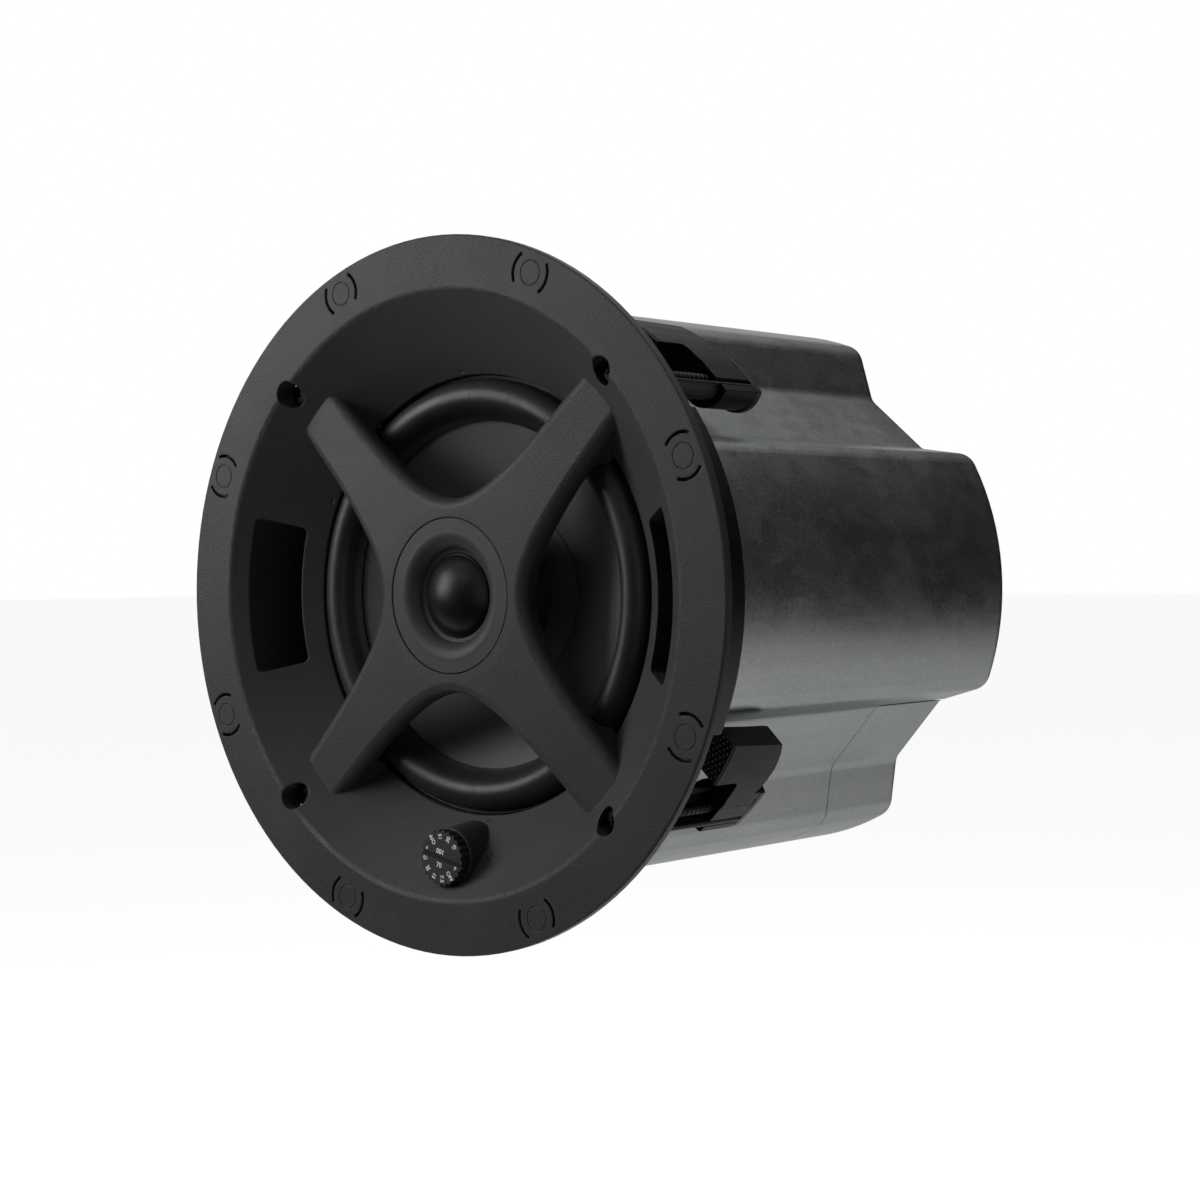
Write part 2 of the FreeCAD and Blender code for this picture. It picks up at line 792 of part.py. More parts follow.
def make_tweeter_coil():
    base_y = tweeter_back_y - 0.4
    return ring(dome_radius - dome_wall - tweeter_coil_wall - 0.2, dome_radius - dome_wall - 0.2,
                base_y, base_y + tweeter_coil_length)


def make_tweeter_cup():
    """The steel cup of the tweeter's motor."""
    cup = rod(tweeter_cup_radius, tweeter_back_y, tweeter_back_y + tweeter_cup_depth)
    floor_y = tweeter_back_y + tweeter_cup_depth - tweeter_cup_floor
    bore = rod(dome_radius + slip_gap, tweeter_back_y - 1, floor_y)
    lip = ring(tweeter_cup_radius - 1, hub_back_radius - hub_wall - slip_gap,
               tweeter_back_y, tweeter_back_y + 2.0)
    return cup.fuse(lip).cut(bore)


def make_tweeter_magnet():
    top = tweeter_back_y + tweeter_cup_depth - tweeter_cup_floor
    return rod(dome_radius - dome_wall - tweeter_coil_wall - 0.8, top - tweeter_magnet_thick, top)


def make_tweeter_pole():
    top = tweeter_back_y + tweeter_cup_depth - tweeter_cup_floor - tweeter_magnet_thick
    return rod(dome_radius - dome_wall - tweeter_coil_wall - 0.6, top - tweeter_pole_thick, top)


# Woofer

lip_y = woofer_seat_y + 1.7


def make_woofer_gasket():
    whole = ring(gasket_inner, basket_radius, woofer_seat_y, lip_y)
    whole = whole.cut(woofer_screw_holes(woofer_seat_y - 1, lip_y + 1))
    return whole.cut(rim_flats(woofer_seat_y - 1, lip_y + 1))


def make_surround():
    """The rubber half roll with its two lips."""
    outer = roll_radius
    inner = roll_radius - surround_wall
    middle_y = lip_y - 0.7
    return turned([
        (roll_mid_radius - outer, middle_y),
        ((roll_mid_radius, middle_y - outer), (roll_mid_radius + outer, middle_y)),
        (surround_outer, middle_y),
        (surround_outer, lip_y),
        (roll_mid_radius + inner, lip_y),
        (roll_mid_radius + inner, middle_y),
        ((roll_mid_radius, middle_y - inner), (roll_mid_radius - inner, middle_y)),
        (roll_mid_radius - inner, lip_y),
        (surround_inner, lip_y + 0.6),
        (surround_inner, lip_y + 0.2),
    ])


def make_cone():
    """The pulp cone, slightly curved, down to the former's neck."""
    edge_r = surround_inner + 1.6
    edge_y = lip_y + seat_gap
    neck_r = former_radius + 0.2
    mid_r = (cap_edge_radius + edge_r) / 2
    mid_y = (cap_edge_y + edge_y) / 2 + 0.6
    low_r = (cap_edge_radius + neck_r) / 2
    low_y = (cap_edge_y + former_top_y + 1.5) / 2 + 0.2
    t = cone_wall
    return turned([
        (edge_r, edge_y),
        (surround_inner, edge_y + 0.9),
        ((mid_r, mid_y), (cap_edge_radius, cap_edge_y)),
        ((low_r, low_y), (neck_r, former_top_y + 1.5)),
        (neck_r, former_top_y + 1.5 + t),
        ((low_r, low_y + t), (cap_edge_radius, cap_edge_y + t)),
        ((mid_r, mid_y + t), (surround_inner, edge_y + 0.9 + t)),
        (edge_r, edge_y + t),
    ])


def sphere_y(centre_y, radius, r):
    """Depth of a sphere's front side at a distance from the axis."""
    return centre_y - math.sqrt(radius ** 2 - r ** 2)


def make_dust_cap():
    """The shallow dust cap, glued to the cone at its edge."""
    edge = cap_edge_radius - 0.3
    big = (edge ** 2 + cap_height ** 2) / (2 * cap_height)
    centre_y = cap_edge_y - 0.2 - cap_height + big
    small = big - cap_wall
    half = edge / 2
    return turned([
        (0, centre_y - big),
        ((half, sphere_y(centre_y, big, half)), (edge, sphere_y(centre_y, big, edge))),
        (edge - 0.3, sphere_y(centre_y, small, edge - 0.3)),
        ((half, sphere_y(centre_y, small, half)), (0, centre_y - small)),
    ])


def make_former():
    return ring(former_radius - former_wall, former_radius, former_top_y, former_end_y)


def make_voice_coil():
    return ring(former_radius, former_radius + coil_thick, former_end_y - coil_length, former_end_y)


def make_spider():
    """The corrugated spider between the former and the basket's ledge."""
    waves = 4
    inner = former_radius + seat_gap
    start = inner + 2.5
    end = spider_radius - 2.5
    step = (end - start) / (2 * waves)
    top = [(inner, spider_y), (start, spider_y)]
    for index in range(2 * waves):
        r0 = start + index * step
        lift = spider_wave if index % 2 else -spider_wave
        top.append(((r0 + step / 2, spider_y + lift), (r0 + step, spider_y)))
    top.append((spider_radius, spider_y))
    t = spider_cloth
    bottom = [(spider_radius, spider_y + t), (end, spider_y + t)]
    for index in reversed(range(2 * waves)):
        r0 = start + index * step
        lift = spider_wave if index % 2 else -spider_wave
        bottom.append(((r0 + step / 2, spider_y + t + lift), (r0, spider_y + t)))
    bottom.append((inner, spider_y + t))
    return turned(top + bottom)


def make_basket():
    """The pressed frame: rim, six spokes, spider ledge and floor."""
    t = basket_wall
    rim_y = lip_y
    ledge_y = spider_y + spider_cloth
    ledge_r = spider_radius + 3.0
    shell = turned([
        (surround_outer - 2.5, rim_y),
        (basket_radius, rim_y),
        (basket_radius, rim_y + basket_rim_thick),
        (surround_outer - 1.0, rim_y + basket_rim_thick),
        (ledge_r + t, ledge_y),
        (ledge_r + t, basket_floor_y + 1.5),
        (former_radius + 4, basket_floor_y + 1.5),
        (former_radius + 4, basket_floor_y),
        (ledge_r - 0.6, basket_floor_y),
        (ledge_r - 0.6, ledge_y + 1.4),
        (spider_radius - 2.5, ledge_y + 1.4),
        (spider_radius - 2.5, ledge_y),
        (ledge_r, ledge_y),
    ])
    windows = []
    y0 = rim_y + basket_rim_thick + 3
    y1 = ledge_y - 3
    step = 360.0 / basket_window_count
    for index in range(basket_window_count):
        half = step / 2 - math.degrees(basket_spoke / 2 / 60.0)
        middle = woofer_screw_first_angle + step * (index + 0.5)
        windows.append(sector(40, 90, middle - half, middle + half, y0, y1))
    shell = shell.cut(Part.makeCompound(windows))
    shell = shell.cut(woofer_screw_holes(rim_y - 1, rim_y + basket_rim_thick + 1))
    return single(shell.cut(rim_flats(rim_y - 1, rim_y + basket_rim_thick + 1)))


motor_y = basket_floor_y + 1.5


def make_top_plate():
    hole = former_radius + coil_thick + magnet_gap_wall
    return ring(hole, magnet_plate_radius, motor_y, motor_y + magnet_plate_thick)


def make_woofer_magnet():
    y0 = motor_y + magnet_plate_thick
    return ring(woofer_magnet_bore, woofer_magnet_radius, y0, y0 + woofer_magnet_thick)


def make_pole_plate():
    """Back plate and pole in one turned piece, with the vent through the pole."""
    y0 = motor_y + magnet_plate_thick + woofer_magnet_thick
    pole = rod(former_radius - former_wall - 0.6, motor_y, y0 + 1)
    plate = rod(magnet_plate_radius, y0, y0 + back_plate_thick)
    plate = plate.makeChamfer(1.5, edges_at_y(plate, y0 + back_plate_thick))
    vent = rod(pole_vent_radius, motor_y - 1, y0 + back_plate_thick + 1)
    return plate.fuse(pole).cut(vent).removeSplitter()


def make_woofer_screws():
    screws = []
    top = lip_y + basket_rim_thick
    for place in woofer_screw_places():
        tip = woofer_seat_y - woofer_screw_bite + 0.2
        shank = rod(woofer_screw_radius, tip, top + 0.5, place.x, place.z)
        head = rod(woofer_screw_head_radius, top, top + woofer_screw_head_thick, place.x, place.z)
        head = head.makeFillet(head_round, edges_at_y(head, top + woofer_screw_head_thick))
        screws.append(shank.fuse(head))
    return Part.makeCompound(screws)


# Tap selector

def make_knob():
    """The toothed disc with the slot that turns it and the socket that grips the shaft."""
    points = []
    step = 360.0 / knob_teeth
    for index in range(knob_teeth):
        for share, radius in ((0.0, knob_radius - knob_tooth_depth), (0.3, knob_radius),
                              (0.62, knob_radius), (0.92, knob_radius - knob_tooth_depth)):
            points.append(at_angle(radius, step * (index + share)))
    points.append(points[0])
    disc = Part.Face(Part.makePolygon(points)).extrude(Vector(0, knob_thick, 0))
    disc.translate(Vector(0, knob_face_y, 0))
    half = knob_slot_width / 2
    section = [(half, knob_face_y), (half, knob_face_y - 1), (-half, knob_face_y - 1),
               (-half, knob_face_y), (-half + knob_slot_draft, knob_face_y + knob_slot_depth),
               (half, knob_face_y)]
    reach = knob_radius + 1
    slot = Part.Face(Part.makePolygon([Vector(-reach, y, z) for z, y in section]))
    slot = slot.extrude(Vector(2 * reach, 0, 0))
    knob = turned_by(disc.cut(slot), knob_turned)
    socket = rod(shaft_radius, knob_face_y + knob_front_wall, knob_face_y + knob_thick + 1)
    knob = knob.cut(socket)
    knob.translate(Vector(0, 0, selector_z))
    return knob


def make_shaft():
    return rod(shaft_radius, knob_face_y + knob_front_wall, switch_seat_y + 1.0, z=selector_z)


def make_switch():
    """The rotary switch: a drum on the boss with a mounting disc and solder tags."""
    y0 = switch_seat_y
    drum = rod(switch_radius, y0, y0 + switch_length, z=selector_z)
    socket = rod(shaft_radius + run_gap, y0 - 1, y0 + 3, z=selector_z)
    tags = []
    end_y = y0 + switch_length
    for index in range(switch_tag_count):
        place = at_angle(switch_radius - 2.0, 360.0 / switch_tag_count * index)
        tags.append(box(place.x - 1.0, place.x + 1.0, end_y - 1, end_y + switch_tag_length,
                        place.z + selector_z - 0.3, place.z + selector_z + 0.3))
    return union([drum] + tags).cut(socket)


# Back can and terminal compartment

def cover_line():
    """The two points that the seam between can and terminal cover runs through."""
    low = at_angle(cover_line_radius, cover_line_low_angle)
    high = at_angle(cover_line_radius, cover_line_high_angle)
    return low, high


def below_line(shift, y0, y1):
    """The half space below the seam line, moved up by a shift, between two depths."""
    low, high = cover_line()
    run = Vector(low.x - high.x, 0, low.z - high.z)
    run.normalize()
    up = Vector(-run.z, 0, run.x)
    centre = (low + high) * 0.5 + up * shift
    a = centre + run * FAR
    b = centre - run * FAR
    c = b - up * FAR
    d = a - up * FAR
    solid = Part.Face(Part.makePolygon([a, b, c, d, a])).extrude(Vector(0, y1 - y0, 0))
    solid.translate(Vector(0, y0, 0))
    return solid


def line_height(x, shift=0.0):
    """Height of the seam line at a place across the speaker."""
    low, high = cover_line()
    slope = (low.z - high.z) / (low.x - high.x)
    return low.z + slope * (x - low.x) + shift * math.sqrt(1 + slope * slope)


def can_shell(y0):
    outer = lobed_prism(0, y0, can_back_y, can_rear_round)
    inner = lobed_prism(-can_sheet, y0 - 1, can_back_y - can_sheet, can_rear_round - can_sheet)
    return outer.cut(inner)


def make_can():
    shell = can_shell(can_front_y)
    opening = below_line(0, cover_front_y, can_back_y + 5)
    return single(shell.cut(opening).cut(can_screw_holes(can_screw_radius + 0.2)))


def gland_place():
    return gland_x, line_height(gland_x) - gland_drop


def cover_screw_spots():
    """Where the cover's screws stand, in the middle of the tray's lip."""
    return [(x, line_height(x, deck_drop) - tray_lip * 0.6) for x in cover_screw_places]


def cover_screw_holes(radius):
    y0 = can_back_y - 8
    return Part.makeCompound([rod(radius, y0, can_back_y + 1, x, z) for x, z in cover_screw_spots()])


def make_cover():
    """The flush cover over the terminal compartment."""
    cover = can_shell(cover_front_y - 20).common(
        below_line(-cover_gap, cover_front_y + cover_gap, can_back_y + 5))
    x, z = gland_place()
    cover = cover.cut(rod(gland_radius + slip_gap, can_back_y - 10, can_back_y + 1, x, z))
    return single(cover.cut(cover_screw_holes(cover_screw_radius + run_gap)))


def make_tray():
    """The folded steel tray that closes the compartment off from the can."""
    clear = -can_sheet - seat_gap
    back_y = can_back_y - can_sheet - 0.05
    room = lobed_prism(clear, cover_front_y - 2, back_y)
    deck = room.common(below_line(deck_drop, cover_front_y, back_y)).cut(
        below_line(deck_drop - tray_sheet, cover_front_y - 1, back_y + 1))
    front = room.common(below_line(deck_drop, cover_front_y, cover_front_y + tray_sheet))
    lip = room.common(below_line(deck_drop, back_y - tray_sheet, back_y)).cut(
        below_line(deck_drop - tray_lip, back_y - 5, back_y + 5))
    trim = lobed_prism(clear, cover_front_y - 2, back_y + 0.02, can_rear_round + clear)
    tray = union([deck, front, lip]).common(trim)
    return single(tray.cut(cover_screw_holes(cover_screw_radius + run_gap)))


def make_cover_screws():
    screws = []
    for x, z in cover_screw_spots():
        head = rod(cover_screw_head_radius, can_back_y, can_back_y + cover_screw_head_thick, x, z)
        head = head.makeFillet(head_round, edges_at_y(head, can_back_y + cover_screw_head_thick))
        shank = rod(cover_screw_radius, can_back_y - cover_screw_length, can_back_y + 0.5, x, z)
        screws.append(head.fuse(shank))
    return Part.makeCompound(screws)


def make_gland():
    """The cable bush in the cover's back."""
    x, z = gland_place()
    body = rod(gland_radius, can_back_y - gland_length, can_back_y + gland_flange, x, z)
    head = rod(gland_radius + gland_flange, can_back_y + 0.05, can_back_y + gland_flange, x, z)
    head = head.makeFillet(0.8, edges_at_y(head, can_back_y + gland_flange))
    bore = rod(gland_hole_radius, can_back_y - 20, can_back_y + 10, x, z)
    return body.fuse(head).cut(bore).removeSplitter()


def on_deck(shape):
    """Places a piece drawn with X along the tray's deck and Z up from its upper face."""
    low, high = cover_line()
    slope = math.degrees(math.atan2(low.z - high.z, low.x - high.x))
    middle = (low + high) * 0.5
    placed = turned_by(shape, slope)
    lift = turned_by(Part.Vertex(0, 0, deck_drop), slope).Point
    placed.translate(Vector(middle.x, 0, middle.z) + lift)
    return placed


def upright(radius, tall, x, y, z):
    """A cylinder that stands on the deck."""
    return Part.makeCylinder(radius, tall, Vector(x, y, z), Vector(0, 0, 1))


def make_terminal_block():
    """The four-way terminal block that hangs from the tray's deck."""
    wide, deep, tall = terminal_block_size
    top = -tray_sheet
    y0 = cover_front_y + terminal_setback
    y1 = y0 + deep
    low = top - tall + terminal_lip
    half = terminal_mouth_wide / 2
    body = box(terminal_x, terminal_x + wide, y0, y1, top - tall, top)
    pitch = wide / terminal_ways
    for index in range(terminal_ways):
        x = terminal_x + pitch * (index + 0.5)
        mouth = box(x - half, x + half, y1 - terminal_mouth_deep, y1 + 1, low, low + terminal_mouth_tall)
        well = upright(terminal_well_radius, terminal_lip + 2, x, (y0 + y1) / 2, top - tall - 1)
        body = body.cut(mouth).cut(well)
    return on_deck(body)


def make_transformer_core():
    """The laminated core of the line transformer, standing on the tray."""
    wide, deep, tall = transformer_size
    y0 = cover_front_y + part_setback
    core = box(transformer_x - wide / 2, transformer_x + wide / 2, y0, y0 + deep, 0, tall)
    for side in (-1, 1):
        near = transformer_x + side * limb_half
        far = transformer_x + side * (winding_size[0] / 2 + seat_gap)
        core = core.cut(box(min(near, far), max(near, far), y0 - 1, y0 + deep + 1, yoke, tall - yoke))
    return on_deck(core)


def make_transformer_winding():
    wide, deep = winding_size
    core_y = cover_front_y + part_setback
    y0 = core_y + (transformer_size[1] - deep) / 2
    outer = box(transformer_x - wide / 2, transformer_x + wide / 2, y0, y0 + deep,
                yoke + seat_gap, transformer_size[2] - yoke - seat_gap)
    limb = box(transformer_x - limb_half - slip_gap, transformer_x + limb_half + slip_gap,
               y0 - 1, y0 + deep + 1, 0, transformer_size[2])
    limb = limb.common(box(-FAR, FAR, core_y - slip_gap, core_y + transformer_size[1] + slip_gap, 0, FAR))
    return on_deck(outer.cut(limb))


def make_board():
    """The crossover's circuit board on four standoffs."""
    wide, deep, thick = board_size
    y0 = cover_front_y + part_setback
    pieces = [box(board_x - wide / 2, board_x + wide / 2, y0, y0 + deep, standoff, standoff + thick)]
    for side in (-1, 1):
        for y in (y0 + board_margin, y0 + deep - board_margin):
            x = board_x + side * (wide / 2 - board_margin)
            pieces.append(upright(standoff_radius, standoff + thick / 2, x, y, 0))
    return on_deck(union(pieces))


def make_chokes():
    """Two ring-wound coils on the board."""
    z0 = standoff + board_size[2]
    coils = []
    for x, radius in zip(choke_places, (choke_radius, choke_small_radius)):
        y = cover_front_y + part_setback + 1 + choke_radius
        coil = upright(radius, choke_height, board_x + x, y, z0)
        coils.append(coil.cut(upright(choke_bore, choke_height + 2, board_x + x, y, z0 - 1)))
    return on_deck(Part.makeCompound(coils))


def make_capacitors():
    """Two film capacitors lying on the board."""
    z0 = standoff + board_size[2]
    y = cover_front_y + part_setback + 2 * choke_radius + 3 + capacitor_radius
    rolls = []
    for x, radius in zip(capacitor_places, (capacitor_radius, capacitor_small_radius)):
        rolls.append(Part.makeCylinder(radius, capacitor_length, Vector(board_x + x, y, z0 + radius),
                                       Vector(1, 0, 0)))
    return on_deck(Part.makeCompound(rolls))


def make_wadding():
    """The acoustic wadding that lines the upper half of the can."""
    clear = -can_sheet - seat_gap
    wadding_to_y = wadding_from_y + wadding_length
    outer = lobed_prism(clear, wadding_from_y, wadding_to_y)
    inner = lobed_prism(clear - wadding_thick, wadding_from_y - 1, wadding_to_y + 1)
    half = box(-FAR, FAR, wadding_from_y - 2, wadding_to_y + 2, wadding_low_z, FAR)
    return single(outer.cut(inner).common(half))


def make_can_gasket():
    shelf_y = can_front_y - gasket_thick
    whole = lobed_prism(gasket_lap, shelf_y, can_front_y)
    return whole.cut(lobed_prism(gasket_lap - gasket_wide, shelf_y - 1, can_front_y + 1))


def make_can_screws():
    screws = []
    for index in range(4):
        shank = Part.makeCylinder(can_screw_radius, can_screw_length, Vector(
            valley_floor + 0.5 - can_screw_length, can_screw_y, 0), Vector(1, 0, 0))
        head = Part.makeCylinder(can_screw_head_radius, can_screw_head_thick,
                                 Vector(valley_floor, can_screw_y, 0), Vector(1, 0, 0))
        screws.append(turned_by(shank.fuse(head), valley_angle + 90 * index))
    return Part.makeCompound(screws)


def make_port_duct(angle):
    """One reflex duct behind the baffle."""
    outer = port_prism(port_wall, port_boss_y, port_end_y, 0)
    inner = port_prism(0, port_boss_y - 1, port_end_y + 1, 0)
    return turned_by(outer.cut(inner), angle)


# Clamps, drawn folded: the wing points to the side

def make_clamp_screw():
    head_y = screw_well_y - screw_head_thick
    head = rod(screw_head_radius, head_y, screw_well_y)
    head = head.makeFillet(0.9, edges_at_y(head, head_y))
    shank = rod(screw_radius, screw_well_y - 0.5, screw_tip_y)
    cross_depth = 1.6
    cross = []
    for turn in (0, 90):
        arm = box(-1.9, 1.9, head_y - 1, head_y + cross_depth, -0.45, 0.45)
        cross.append(turned_by(arm, turn + 20))
    return head.fuse(shank).cut(Part.makeCompound(cross)).removeSplitter()


def make_clamp_nut():
    y0 = sleeve_front_y + 2
    return ring(screw_radius + run_gap, nut_radius, y0, y0 + nut_length)


def wing_band(inner, outer, side0, side1, y0, y1):
    """A piece of the wing between two radii about the speaker's axis and two side lengths."""
    tube = ring(inner, outer, y0, y1, x=-clamp_circle)
    keep = box(-40, 40, y0 - 1, y1 + 1, side0, side1)
    return tube.common(keep)


def make_clamp_arm():
    y0 = sleeve_front_y
    y1 = sleeve_front_y + sleeve_length
    core = rod(core_radius, y0, y1)
    neck = box(-neck_half, neck_half, y0, y1, 0, sleeve_outer - 0.5)
    sleeve = ring(tower_outer + seat_gap + 0.1, sleeve_outer, y0, y1)
    wing = wing_band(wing_inner_radius, envelope_radius, wing_root_side, wing_tip_side,
                     wing_front_y, wing_back_y)
    tip_edges = [e for e in along_y(wing) if e.CenterOfMass.z > wing_tip_side - 0.5
                 and e.CenterOfMass.x < -6]
    wing = wing.makeChamfer(wing_tip_chamfer, tip_edges)
    bridge = wing_band(wing_inner_radius, envelope_radius, tower_outer + seat_gap + 0.6, wing_root_side + 1,
                       y0, wing_back_y - 1.5)
    arm = union([core, neck, sleeve, wing, bridge]).common(envelope(wing_front_y - 1, wing_back_y + 1))
    arm = arm.cut(rod(nut_radius + run_gap, y0 - 1, y1 + 1))
    return single(arm)


def make_clamp_pad():
    """The soft pad on the wing's front face."""
    wing = wing_band(wing_inner_radius + pad_inset, envelope_radius - pad_inset, wing_root_side + pad_inset,
                     wing_tip_side - pad_inset, wing_front_y - pad_thick, wing_front_y)
    tip_edges = [e for e in along_y(wing) if e.CenterOfMass.z > wing_tip_side - pad_inset - 0.5
                 and e.CenterOfMass.x < -6]
    return wing.makeChamfer(wing_tip_chamfer - pad_inset / 2, tip_edges)


def save(name, shape):
    shape.exportStep("parts/" + name + ".step")


save("baffle", make_baffle())
save("grille_magnets", make_grille_magnets())
save("tweeter_plate", make_tweeter_plate())
save("tweeter_dome", make_tweeter_dome())
save("tweeter_coil", make_tweeter_coil())
save("tweeter_cup", make_tweeter_cup())
save("tweeter_magnet", make_tweeter_magnet())
save("tweeter_pole", make_tweeter_pole())
save("woofer_gasket", make_woofer_gasket())
save("woofer_surround", make_surround())
save("woofer_cone", make_cone())
save("dust_cap", make_dust_cap())
save("coil_former", make_former())
save("voice_coil", make_voice_coil())
save("spider", make_spider())
save("woofer_basket", make_basket())
save("top_plate", make_top_plate())
save("woofer_magnet", make_woofer_magnet())
save("pole_plate", make_pole_plate())
save("woofer_screws", make_woofer_screws())
save("selector_knob", make_knob())
save("selector_shaft", make_shaft())
save("selector_switch", make_switch())
save("back_can", make_can())
save("can_gasket", make_can_gasket())
save("can_screws", make_can_screws())
save("terminal_cover", make_cover())
save("terminal_tray", make_tray())
save("cover_screws", make_cover_screws())
save("cable_gland", make_gland())
save("terminal_block", make_terminal_block())
save("transformer_core", make_transformer_core())
save("transformer_winding", make_transformer_winding())
save("crossover_board", make_board())
save("crossover_chokes", make_chokes())
save("crossover_capacitors", make_capacitors())
save("wadding", make_wadding())
for number, port_angle in ((1, 0), (2, 180)):
    save("port_duct_%d" % number, make_port_duct(port_angle))
screw = make_clamp_screw()
nut = make_clamp_nut()
clamp_arm = make_clamp_arm()
pad = make_clamp_pad()
for number in range(clamp_count):
    save("clamp_screw_%d" % (number + 1), tower_frame(screw, number))
    save("clamp_nut_%d" % (number + 1), tower_frame(nut, number))
    save("clamp_arm_%d" % (number + 1), tower_frame(clamp_arm, number))
    save("clamp_pad_%d" % (number + 1), tower_frame(pad, number))
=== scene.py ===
import json
import math

import bmesh
import bpy
from mathutils import Matrix, Vector


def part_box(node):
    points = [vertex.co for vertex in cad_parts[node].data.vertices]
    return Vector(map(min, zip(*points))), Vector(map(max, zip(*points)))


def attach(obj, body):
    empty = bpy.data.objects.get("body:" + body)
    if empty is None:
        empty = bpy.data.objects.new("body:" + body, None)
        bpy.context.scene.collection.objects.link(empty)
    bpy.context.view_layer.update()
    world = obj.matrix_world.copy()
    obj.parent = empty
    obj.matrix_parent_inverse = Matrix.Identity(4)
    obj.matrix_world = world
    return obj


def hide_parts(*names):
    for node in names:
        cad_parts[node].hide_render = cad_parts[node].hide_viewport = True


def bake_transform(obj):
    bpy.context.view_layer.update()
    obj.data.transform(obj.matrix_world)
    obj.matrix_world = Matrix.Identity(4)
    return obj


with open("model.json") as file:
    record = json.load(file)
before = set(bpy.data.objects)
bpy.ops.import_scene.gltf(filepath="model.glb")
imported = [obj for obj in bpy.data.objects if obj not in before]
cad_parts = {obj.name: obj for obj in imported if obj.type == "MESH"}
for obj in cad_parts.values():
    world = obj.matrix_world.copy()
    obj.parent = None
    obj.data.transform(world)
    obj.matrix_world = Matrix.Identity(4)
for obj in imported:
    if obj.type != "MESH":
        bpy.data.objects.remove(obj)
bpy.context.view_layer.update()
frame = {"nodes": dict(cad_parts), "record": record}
nodes = frame["nodes"]
MM = 0.001


# Procedural materials. Texture coordinates are the object's own, in metres, so a scale is in
# cells a metre and a distance is in metres.

class Surface:
    """A Principled material with helpers that grow its node tree."""

    def __init__(self, name, metallic=0.0, specular=0.5, **settings):
        self.material = bpy.data.materials.new(name)
        self.material.use_nodes = True
        self.tree = self.material.node_tree
        self.tree.nodes.clear()
        self.output = self.add("OutputMaterial")
        self.shader = self.add("BsdfPrincipled")
        self.link(self.shader.outputs[0], self.output.inputs["Surface"])
        self.shader.inputs["Metallic"].default_value = metallic
        self.shader.inputs["Specular IOR Level"].default_value = specular
        for key, value in settings.items():
            self.shader.inputs[key.replace("_", " ")].default_value = value
        self.where = self.add("TexCoord").outputs["Object"]

    def add(self, kind, **settings):
        node = self.tree.nodes.new("ShaderNode" + kind)
        for key, value in settings.items():
            setattr(node, key, value)
        return node

    def link(self, a, b):
        self.tree.links.new(a, b)

    def feed(self, socket, value):
        if isinstance(value, bpy.types.NodeSocket):
            self.link(value, socket)
        else:
            socket.default_value = value

    def stretched(self, x, y, z):
        node = self.add("Mapping")
        self.link(self.where, node.inputs["Vector"])
        node.inputs["Scale"].default_value = (x, y, z)
        return node.outputs["Vector"]

    def noise(self, scale, detail=4.0, rough=0.55, distortion=0.0, vector=None):
        node = self.add("TexNoise")
        self.link(vector or self.where, node.inputs["Vector"])
        node.inputs["Scale"].default_value = scale
        node.inputs["Detail"].default_value = detail
        node.inputs["Roughness"].default_value = rough
        node.inputs["Distortion"].default_value = distortion
        return node.outputs["Fac"]

    def cells(self, scale, vector=None, output="Distance"):
        node = self.add("TexVoronoi")
        self.link(vector or self.where, node.inputs["Vector"])
        node.inputs["Scale"].default_value = scale
        return node.outputs[output]

    def fit(self, value, low, high, to_low, to_high):
        node = self.add("MapRange")
        self.feed(node.inputs["Value"], value)
        limits = {"From Min": low, "From Max": high, "To Min": to_low, "To Max": to_high}
        for key, number in limits.items():
            node.inputs[key].default_value = number
        return node.outputs["Result"]

    def spread(self, noise, to_low, to_high):
        """Spreads what a noise mostly runs over, 0.3 to 0.7, from to_low to to_high."""
        return self.fit(noise, 0.3, 0.7, to_low, to_high)

    def math(self, operation, a, b=0.0):
        node = self.add("Math", operation=operation)
        self.feed(node.inputs[0], a)
        self.feed(node.inputs[1], b)
        return node.outputs[0]

    def mix(self, share, a, b):
        node = self.add("Mix", data_type="RGBA")
        self.feed(node.inputs["Factor"], share)
        self.feed(node.inputs[6], a)
        self.feed(node.inputs[7], b)
        return node.outputs[2]

    def parts(self, vector=None):
        node = self.add("SeparateXYZ")
        self.link(vector or self.where, node.inputs[0])
        return node.outputs

    def facing(self):
        node = self.add("NewGeometry")
        return self.parts(node.outputs["Normal"])

    def round_edges(self, radius, samples=4):
        node = self.add("Bevel", samples=samples)
        node.inputs["Radius"].default_value = radius
        return node.outputs["Normal"]

    def bump(self, height, depth, normal=None):
        node = self.add("Bump")
        node.inputs["Strength"].default_value = 1.0
        node.inputs["Distance"].default_value = depth
        self.link(height, node.inputs["Height"])
        if normal:
            self.link(normal, node.inputs["Normal"])
        return node.outputs["Normal"]

    def edge_wear(self, radius):
        """How far the rounded normal leaves the true one: 0 on a flat, up to 1 on an edge."""
        node = self.add("Bevel", samples=4)
        node.inputs["Radius"].default_value = radius
        plain = self.add("NewGeometry")
        dot = self.add("VectorMath", operation="DOT_PRODUCT")
        self.link(node.outputs["Normal"], dot.inputs[0])
        self.link(plain.outputs["Normal"], dot.inputs[1])
        bend = self.math("SUBTRACT", 1.0, dot.outputs["Value"])
        return self.fit(bend, 0.02, 0.35, 0.0, 1.0)

    def done(self, color, roughness, normal=None):
        self.feed(self.shader.inputs["Base Color"], color)
        self.feed(self.shader.inputs["Roughness"], roughness)
        if normal:
            self.link(normal, self.shader.inputs["Normal"])
        return self.material


def grey(value, tint=(1.0, 1.0, 1.0)):
    return (value * tint[0], value * tint[1], value * tint[2], 1.0)


COOL = (0.97, 1.0, 1.05)


